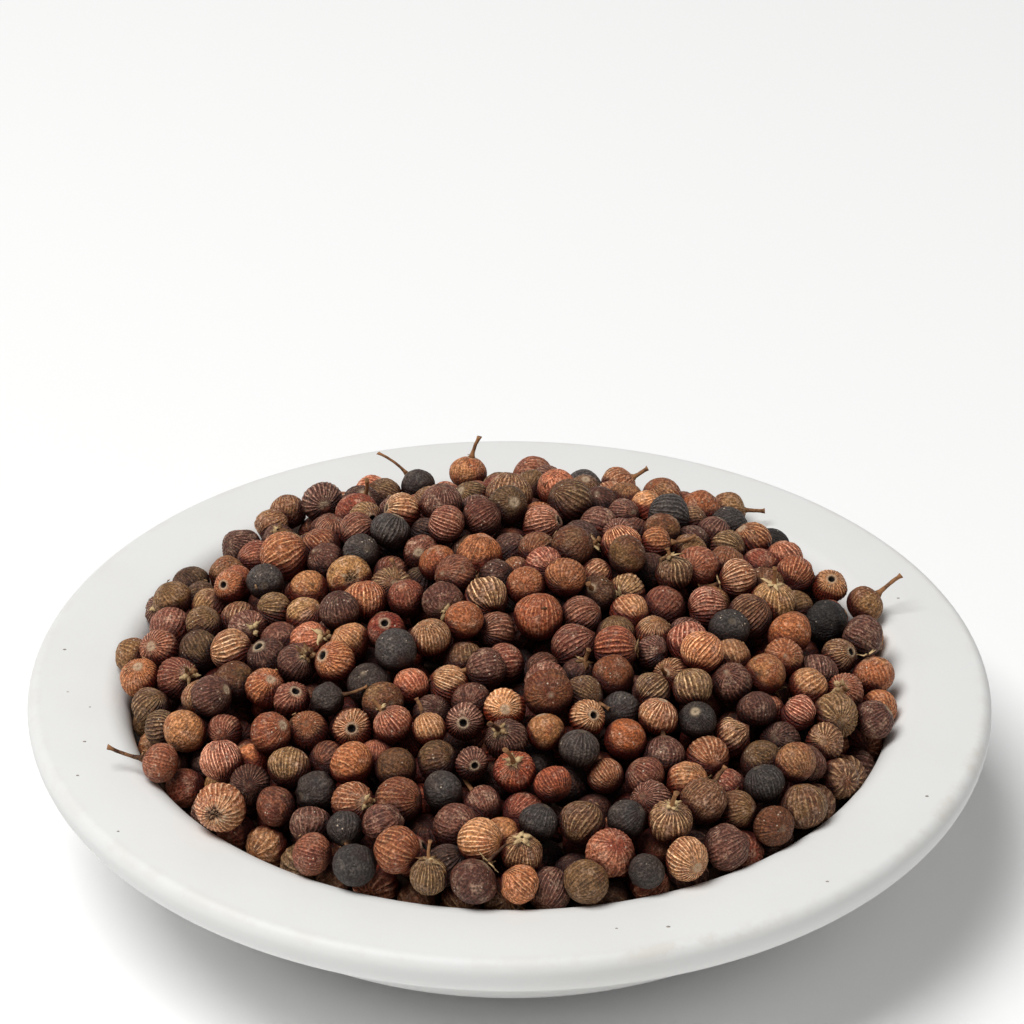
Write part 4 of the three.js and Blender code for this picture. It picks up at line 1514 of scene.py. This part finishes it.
@dataclass
class Stars:
    """Papery calyx lobes round the stalk's end of some berries, in millimetres and radians."""

    husk: Husk = Husk("calyx_husk", tint(104, 68, 40), tint(216, 186, 138))
    thickness: float = 0.06
    gap: float = 0.03
    rows: int = 7
    widest: float = 0.7
    root: float = 0.15
    reaches: tuple[float, float] = (0.45, 1.15)
    lifts: tuple[float, ...] = (0.04, 0.2, 0.5)
    lift_odds: tuple[float, ...] = (0.4, 0.35, 0.25)
    widths: tuple[float, float] = (0.24, 0.38)
    tip_width: float = 0.02
    curl: float = 0.4
    crease: float = 0.16
    fold: float = 0.07
    flattening: float = 0.96
    lobe_counts: tuple[int, ...] = (4, 5, 5)
    missing_odds: float = 0.08
    scatter: float = 0.15
    lighter: tuple[float, float] = (-0.15, 0.2)

    def faces(self) -> np.ndarray:
        """Faces of a lobe: an upper and an under skin of three points a row, closed round the edge.

        Returns:
            The quads.
        """
        under = 3 * self.rows
        quads = []
        for i in range(self.rows - 1):
            for a in (i * 3, i * 3 + 1):
                quads.append((a, a + 3, a + 4, a + 1))
                quads.append((under + a, under + a + 1, under + a + 4, under + a + 3))
            left, right = i * 3, i * 3 + 2
            quads.append((left, under + left, under + left + 3, left + 3))
            quads.append((right, right + 3, under + right + 3, under + right))
        last = under - 3
        for j in range(2):
            quads.append((j, j + 1, under + j + 1, under + j))
            quads.append((last + j, under + last + j, under + last + j + 1, last + j + 1))
        return np.array(quads)

    def lobe(self, berry: Berry, turn: float, rng: np.random.Generator) -> np.ndarray:
        """One pointed, crumpled lobe that lies on the berry and lifts at its end.

        Args:
            berry: Berry that it lies on.
            turn: Its place round the stalk.
            rng: Source of draws.

        Returns:
            Its vertices about the berry's own axis, first the upper skin's.
        """
        reach = rng.uniform(*self.reaches)
        lift = rng.choice(self.lifts, p=self.lift_odds)
        width = rng.uniform(*self.widths)
        curl = rng.uniform(-self.curl, self.curl)
        crease = rng.uniform(-self.crease, self.crease, (self.rows, 3))
        rows = []
        for side in (self.thickness, 0.0):
            for i, share in enumerate(np.linspace(0, 1, self.rows)):
                swell = 0.85 + 0.4 * math.sin(math.pi * share)
                half = width * (1 - share ** 1.6) * swell + self.tip_width
                for across in (-1, 0, 1):
                    crumpled = crease[i, across + 1] * share
                    polar = (self.root + reach * share + crumpled) / berry.radius
                    spread = min(half / (berry.radius * math.sin(polar)), self.widest)
                    azimuth = turn + curl * share ** 2 + across * spread
                    fold = self.fold * (1 - abs(across)) + crumpled
                    radius = berry.radius + self.gap + side + lift * share ** 2 + fold
                    rows.append((
                        radius * math.sin(polar) * math.cos(azimuth),
                        radius * math.sin(polar) * math.sin(azimuth),
                        radius * math.cos(polar) * self.flattening
                        + (1 - self.flattening) * berry.radius,
                    ))
        return np.array(rows)

    def build(self, berries: Sequence[Berry], rng: np.random.Generator) -> bpy.types.Object:
        """Makes the stars of all berries that have one.

        Args:
            berries: All berries of the heap.
            rng: Source of draws.

        Returns:
            The piece.
        """
        buffer = MeshBuffer()
        faces = self.faces()
        for berry in berries:
            if berry.end not in STARRED:
                continue
            turn = turned_to(berry.direction, rng.uniform(*ANY_TURN))
            lobes = int(rng.choice(self.lobe_counts))
            for i in range(lobes):
                if rng.random() < self.missing_odds:
                    continue
                heading = (i + rng.uniform(-self.scatter, self.scatter)) * 2 * math.pi / lobes
                places = self.lobe(berry, heading, rng) @ turn.T + berry.centre
                light = berry.light + rng.uniform(*self.lighter)
                buffer.add(places, [faces], (light, 0.5, 0.5))
        return settle_in(buffer.piece("calyx_stars", self.husk.material()), HEAP_NODE)


@dataclass
class Stalks:
    """Thin dry stalks with flared ends, in millimetres.

    A flare is the girth that it adds and the share of the length over which it fades. Girths,
    unevenness, bend and sag are shares of the radius or the length.
    """

    husk: Husk = Husk("stalk_husk", tint(62, 37, 25), tint(160, 114, 76))
    radius: float = 0.18
    girths: tuple[float, float] = (0.8, 1.15)
    root_flare: tuple[float, float] = (1.1, 0.13)
    end_flare: tuple[float, float] = (0.5, 0.08)
    uneven: float = 0.12
    bend: float = 0.24
    sag: float = 0.05
    rooted: float = 0.88
    end_bulges: tuple[float, float] = (0.05, 0.03)
    broken_paint: tuple[float, float] = (0.8, 0.9)
    lights: tuple[float, float] = (0.2, 0.8)
    sides: int = 9
    rings: int = 9

    def stalk(
        self, berry: Berry, rng: np.random.Generator
    ) -> tuple[np.ndarray, list[np.ndarray], np.ndarray]:
        """One slightly bent stalk, thicker at both ends.

        Args:
            berry: Berry that it grows from.
            rng: Source of draws.

        Returns:
            Its vertices, its faces and its paint.
        """
        turn = turned_to(berry.direction, rng.uniform(*ANY_TURN))
        shares = np.linspace(0, 1, self.rings)
        length = berry.stalk
        bend = rng.uniform(-self.bend, self.bend) * length
        start = self.rooted * berry.radius
        centres = np.column_stack([
            bend * shares ** 2,
            self.sag * length * np.sin(3 * shares),
            start + (berry.radius - start + length) * shares,
        ])
        girth = self.radius * rng.uniform(*self.girths)
        at_root = self.root_flare[0] * np.exp(-shares / self.root_flare[1])
        at_end = self.end_flare[0] * np.exp(-(1 - shares) / self.end_flare[1])
        widths = girth * (1 + at_root + at_end)
        angles = np.arange(self.sides) * 2 * np.pi / self.sides
        ring = np.column_stack([np.cos(angles), np.sin(angles), np.zeros(self.sides)])
        uneven = 1 + rng.uniform(-self.uneven, self.uneven, (self.rings, self.sides))
        body = centres[:, None] + ring[None] * (widths[:, None] * uneven)[..., None]
        at_berry, at_tip = self.end_bulges
        ends = np.array([centres[0] - (0, 0, at_berry), centres[-1] - (0, 0, at_tip)])
        places = np.concatenate([ends[1:], body[::-1].reshape(-1, 3), ends[:1]])
        quads, base, tip = berry_faces(self.sides, self.rings)
        paint = np.zeros((len(places), 3))
        paint[0, 0], paint[1:1 + self.sides, 1] = self.broken_paint
        return places @ turn.T + berry.centre, [quads, base, tip], paint

    def build(self, berries: Sequence[Berry], rng: np.random.Generator) -> bpy.types.Object:
        """Makes all stalks.

        Args:
            berries: All berries of the heap.
            rng: Source of draws.

        Returns:
            The piece.
        """
        buffer = MeshBuffer()
        for berry in berries:
            if berry.stalk > 0:
                places, faces, paint = self.stalk(berry, rng)
                buffer.add(places, faces, (rng.uniform(*self.lights), 0.5, 0.5), paint)
        return settle_in(buffer.piece("stalks", self.husk.material()), HEAP_NODE)


@dataclass
class Core:
    """The heap's inside, among and below the berries, in millimetres, dark with painted shade."""

    dish: Dish
    settling: Settling
    gap: float = 0.3
    depth: float = 4.4
    wall_top: float = 5.2
    lump: float = 0.5
    segments: int = 72
    ring_count: int = 18
    finish: DeepShade = field(default_factory=DeepShade)

    def build(self) -> bpy.types.Object:
        """Makes the core, clear of the dish.

        Returns:
            The piece.
        """
        dish = self.dish
        wall = dish.well_radius - self.gap
        floor = dish.height - dish.well_depth + self.gap
        turn_up = (dish.well_floor_radius, floor)
        rise = [turn_up, *dish.quarter(turn_up, (wall, floor), (wall, dish.height - dish.shoulder_round))]
        kept = [point for point in rise if point[1] < dish.height - self.wall_top]
        reach = kept[-1][0]
        rings = [(reach * i / self.ring_count, dish.height) for i in range(self.ring_count, 0, -1)]
        section = np.array([(0, floor), *kept, *rings, (0, dish.height)])
        places, faces = revolved(section, self.segments)
        above = places[:, 2] > dish.height - 1
        x, y = places[above, 0], places[above, 1]
        lumps = self.lump * np.sin(1.9 * x + 0.7) * np.sin(1.7 * y + 0.2)
        places[above, 2] = self.settling.height(x, y) - self.depth + lumps
        buffer = MeshBuffer()
        buffer.add(places, faces)
        return settle_in(buffer.piece("heap_depth", self.finish.material()), HEAP_NODE)


@dataclass
class Crumbs:
    """Small flakes of broken skin and husk that lie on the berries, in millimetres."""

    husk: Husk = Husk("crumb_husk", tint(96, 64, 42), tint(190, 150, 108))
    count: int = 70
    corners: int = 5
    sizes: tuple[float, float] = (0.22, 0.55)
    spreads: tuple[float, float] = (0.5, 1.0)
    slopes: tuple[float, float] = (5, 60)
    narrowing: float = 0.6
    tilt: float = 0.04
    thickness: float = 0.07
    taper: float = 0.9
    gap: float = 0.01
    lights: tuple[float, float] = (0.2, 0.9)

    def faces(self) -> list[np.ndarray]:
        """Faces of a flake.

        Returns:
            Its sides, and its lower and upper cap.
        """
        one = np.arange(self.corners)
        other = (one + 1) % self.corners
        sides = np.column_stack([one, other, other + self.corners, one + self.corners])
        return [sides, np.stack([one[::-1], one + self.corners])]

    def flake(self, rng: np.random.Generator) -> np.ndarray:
        """Draws the corners of a flake that lies level.

        Args:
            rng: Source of draws.

        Returns:
            The corners of its lower cap, then those of its upper cap.
        """
        size = rng.uniform(*self.sizes)
        angles = np.sort(rng.uniform(0, 2 * np.pi, self.corners))
        spread = rng.uniform(*self.spreads, self.corners) * size
        outline = np.column_stack([spread * np.cos(angles), self.narrowing * spread * np.sin(angles)])
        low = np.column_stack([outline, rng.uniform(0.0, self.tilt, self.corners)])
        high = np.column_stack([outline * self.taper, low[:, 2] + self.thickness])
        return np.concatenate([low, high])

    def build(self, berries: Sequence[Berry], rng: np.random.Generator) -> bpy.types.Object:
        """Makes the crumbs.

        Args:
            berries: All berries of the heap.
            rng: Source of draws.

        Returns:
            The piece.
        """
        upper = [berry for berry in berries if berry.upper]
        buffer = MeshBuffer()
        for _ in range(self.count):
            berry = upper[int(rng.integers(len(upper)))]
            up = heading_vector(rng.uniform(0, 360), rng.uniform(*self.slopes))
            corners = self.flake(rng)
            turn = turned_to(up, rng.uniform(*ANY_TURN))
            places = corners @ turn.T + berry.centre + up * (berry.radius + self.gap)
            buffer.add(places, self.faces(), (rng.uniform(*self.lights), 0.5, 0.5))
        return settle_in(buffer.piece("crumbs", self.husk.material()), HEAP_NODE)


def drawn(shares: dict[Any, float], rng: np.random.Generator) -> Any:
    """Draws one of several options.

    Args:
        shares: The share of each option.
        rng: Source of draws.

    Returns:
        The option.
    """
    odds = np.array(list(shares.values()))
    return list(shares)[int(rng.choice(len(odds), p=odds / odds.sum()))]


@dataclass
class Heap:
    """All berries in the dish, with their stalks, stars and crumbs.

    Stripes and lights are drawn by a mean and a spread, and kept in their range.
    """

    dish: Dish
    upper_depth: float = 1.6
    seed: int = 338
    stalk_lengths: tuple[float, float] = (0.8, 2.4)
    stripes: tuple[float, float] = (0.52, 0.3)
    stripe_range: tuple[float, float] = (0.05, 1.0)
    lights: tuple[float, float] = (0.47, 0.2)
    light_range: tuple[float, float] = (0.1, 0.95)
    # Painted shade: berries below the upper layer are made darker by this factor.
    lower_painted_shade_factor: float = 0.8
    end_lift: float = 0.7
    end_forward: float = 0.3
    end_shares: dict[End, float] = field(default_factory=lambda: {
        End.BARE: 0.58,
        End.SCAR: 0.17,
        End.HOLE: 0.09,
        End.STAR: 0.05,
        End.STALK: 0.05,
        End.STARRED_STALK: 0.06,
    })

    def direction(self, end: End, rng: np.random.Generator) -> np.ndarray:
        """Draws where a berry's stalk end points.

        Args:
            end: What it has there.
            rng: Source of draws.

        Returns:
            Unit vector, turned upwards where the end has something that stands out.
        """
        lift = 0.0 if end in (End.BARE, End.SCAR) else self.end_lift
        vector = rng.normal(size=3)
        vector = vector / np.linalg.norm(vector) + (0, -self.end_forward * lift, lift)
        return vector / np.linalg.norm(vector)

    def berries(self, layer: Layer, rng: np.random.Generator) -> list[Berry]:
        """Gives every settled berry its looks.

        Args:
            layer: The settled berries.
            rng: Source of draws.

        Returns:
            The berries, the chosen ones first.
        """
        made = []
        for i, (centre, radius, depth) in enumerate(zip(layer.centres, layer.radii, layer.depths)):
            hue = drawn(HUE_SHARES, rng)
            end = drawn(self.end_shares, rng)
            stalk = rng.uniform(*self.stalk_lengths) if end in STALKED else 0.0
            stripes = float(np.clip(rng.normal(*self.stripes), *self.stripe_range))
            light = float(np.clip(rng.normal(*self.lights), *self.light_range))
            direction = self.direction(end, rng)
            if i < len(CHOSEN):
                c = CHOSEN[i]
                direction = heading_vector(c.heading, c.slope)
                hue, end, stalk, stripes, light = c.hue, c.end, c.stalk, c.stripes, c.light
            upper = bool(depth < self.upper_depth)
            # Lower berries are bare, have no stalk, and are darker as painted shade.
            if not upper:
                end, stalk, light = End.BARE, 0.0, light * self.lower_painted_shade_factor
            made.append(Berry(centre, radius, hue, end, direction, stalk, stripes, light, upper))
        return made

    def build(self) -> list[bpy.types.Object]:
        """Makes the berries, one piece for each hue, and what lies among them.

        Returns:
            The pieces.
        """
        settling = Settling(self.dish)
        rng = np.random.default_rng(self.seed)
        layer = settling.settle()
        berries = self.berries(layer, rng)
        shape = BerryShape(layer)
        buffers = {hue: MeshBuffer() for hue in Hue}
        for number, berry in enumerate(berries):
            shape.build(berry, number, rng, buffers[berry.hue])
        pieces = [
            settle_in(buffer.piece(f"berries_{hue.value.name}", hue.value.material()), HEAP_NODE)
            for hue, buffer in buffers.items()
        ]
        pieces.append(Stars().build(berries, rng))
        pieces.append(Stalks().build(berries, rng))
        pieces.append(Crumbs().build(berries, rng))
        pieces.append(Core(self.dish, settling).build())
        return pieces


# ---------------------------------------------------------------------------------------------
# Studio
# ---------------------------------------------------------------------------------------------


@dataclass(frozen=True)
class Lamp:
    """Soft square light, in metres and watts."""

    name: str
    place: tuple[float, float, float]
    size: float
    power: float
    colour: Colour = tint(255, 255, 254)

    def build(self, aim: Vector) -> bpy.types.Object:
        """Places the light.

        Args:
            aim: Point that it faces.

        Returns:
            The light.
        """
        data = bpy.data.lights.new(self.name, "AREA")
        data.size = self.size
        data.energy = self.power
        data.color = self.colour[:3]
        made = placed(self.name, data)
        made.location = self.place
        made.rotation_euler = (aim - Vector(self.place)).to_track_quat("-Z", "Y").to_euler()
        return made


@dataclass
class Studio:
    """Pale floor, soft lights and the camera, in metres and degrees."""

    aim_height: float = 18 * MM
    distance: float = 8 * 47.5 * MM
    elevation: float = 32.95
    pan: float = 0.0215
    tilt: float = 2.4029
    roll: float = 0.3121
    lens: float = 134.93
    sensor: float = 36.0
    nearest: float = 0.01
    floor_half: float = 1.5
    floor: Plain = Plain("studio_floor", tint(253, 253, 253), 0.9)
    lamps: tuple[Lamp, ...] = (
        Lamp("key", (-0.36, -0.14, 1.0), 0.6, 10.0),
        Lamp("front", (-0.10, -0.60, 0.36), 0.40, 0.1),
    )
    air: Colour = (1, 1, 1, 1)
    air_strength: float = 0.27

    def camera(self) -> bpy.types.Object:
        """Places the camera as in the photograph.

        Returns:
            The camera.
        """
        rise = math.radians(self.elevation)
        back = Vector((0, -math.cos(rise), math.sin(rise)))
        right = Vector((1, 0, 0))
        over = right.cross(-back)
        ahead = (-back + math.tan(math.radians(self.pan)) * right
                 + math.tan(math.radians(self.tilt)) * over)
        ahead.normalize()
        right = ahead.cross(Vector((0, 0, 1))).normalized()
        over = right.cross(ahead)
        turn = math.radians(self.roll)
        side = math.cos(turn) * right + math.sin(turn) * over
        top = math.cos(turn) * over - math.sin(turn) * right
        data = bpy.data.cameras.new("camera")
        data.lens = self.lens
        data.sensor_width = self.sensor
        data.clip_start = self.nearest
        made = placed("camera", data)
        place = Vector((0, 0, self.aim_height)) + back * self.distance
        made.matrix_world = Matrix.Translation(place) @ Matrix((side, top, -ahead)).transposed().to_4x4()
        bpy.context.scene.camera = made
        return made

    def build(self) -> None:
        """Makes the camera, the floor and the lights."""
        self.camera()
        half = self.floor_half
        corners = [(-half, -half, 0), (half, -half, 0), (half, half, 0), (-half, half, 0)]
        mesh = bpy.data.meshes.new("floor")
        mesh.from_pydata(corners, [], [(0, 1, 2, 3)])
        mesh.materials.append(self.floor.material())
        floor = placed("floor", mesh)
        aim = Vector((0, 0, self.aim_height))
        for lamp in self.lamps:
            lamp.build(aim)
        world = bpy.data.worlds.new("studio_air")
        world.use_nodes = True
        sky = world.node_tree.nodes["Background"].inputs
        sky["Color"].default_value = self.air
        sky["Strength"].default_value = self.air_strength
        bpy.context.scene.world = world
        bpy.context.scene.view_settings.view_transform = "Standard"
        bpy.context.scene.view_settings.look = "None"


def main() -> None:
    """Builds the studio, the dish and the heap, and keeps the sizes of solid and scene."""
    logging.basicConfig(level=logging.INFO, format="%(message)s")
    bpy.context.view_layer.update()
    Studio().build()
    dish = Dish()
    dish.build()
    Pinholes(dish).build()
    Heap(dish).build()


if __name__ == "__main__":
    main()
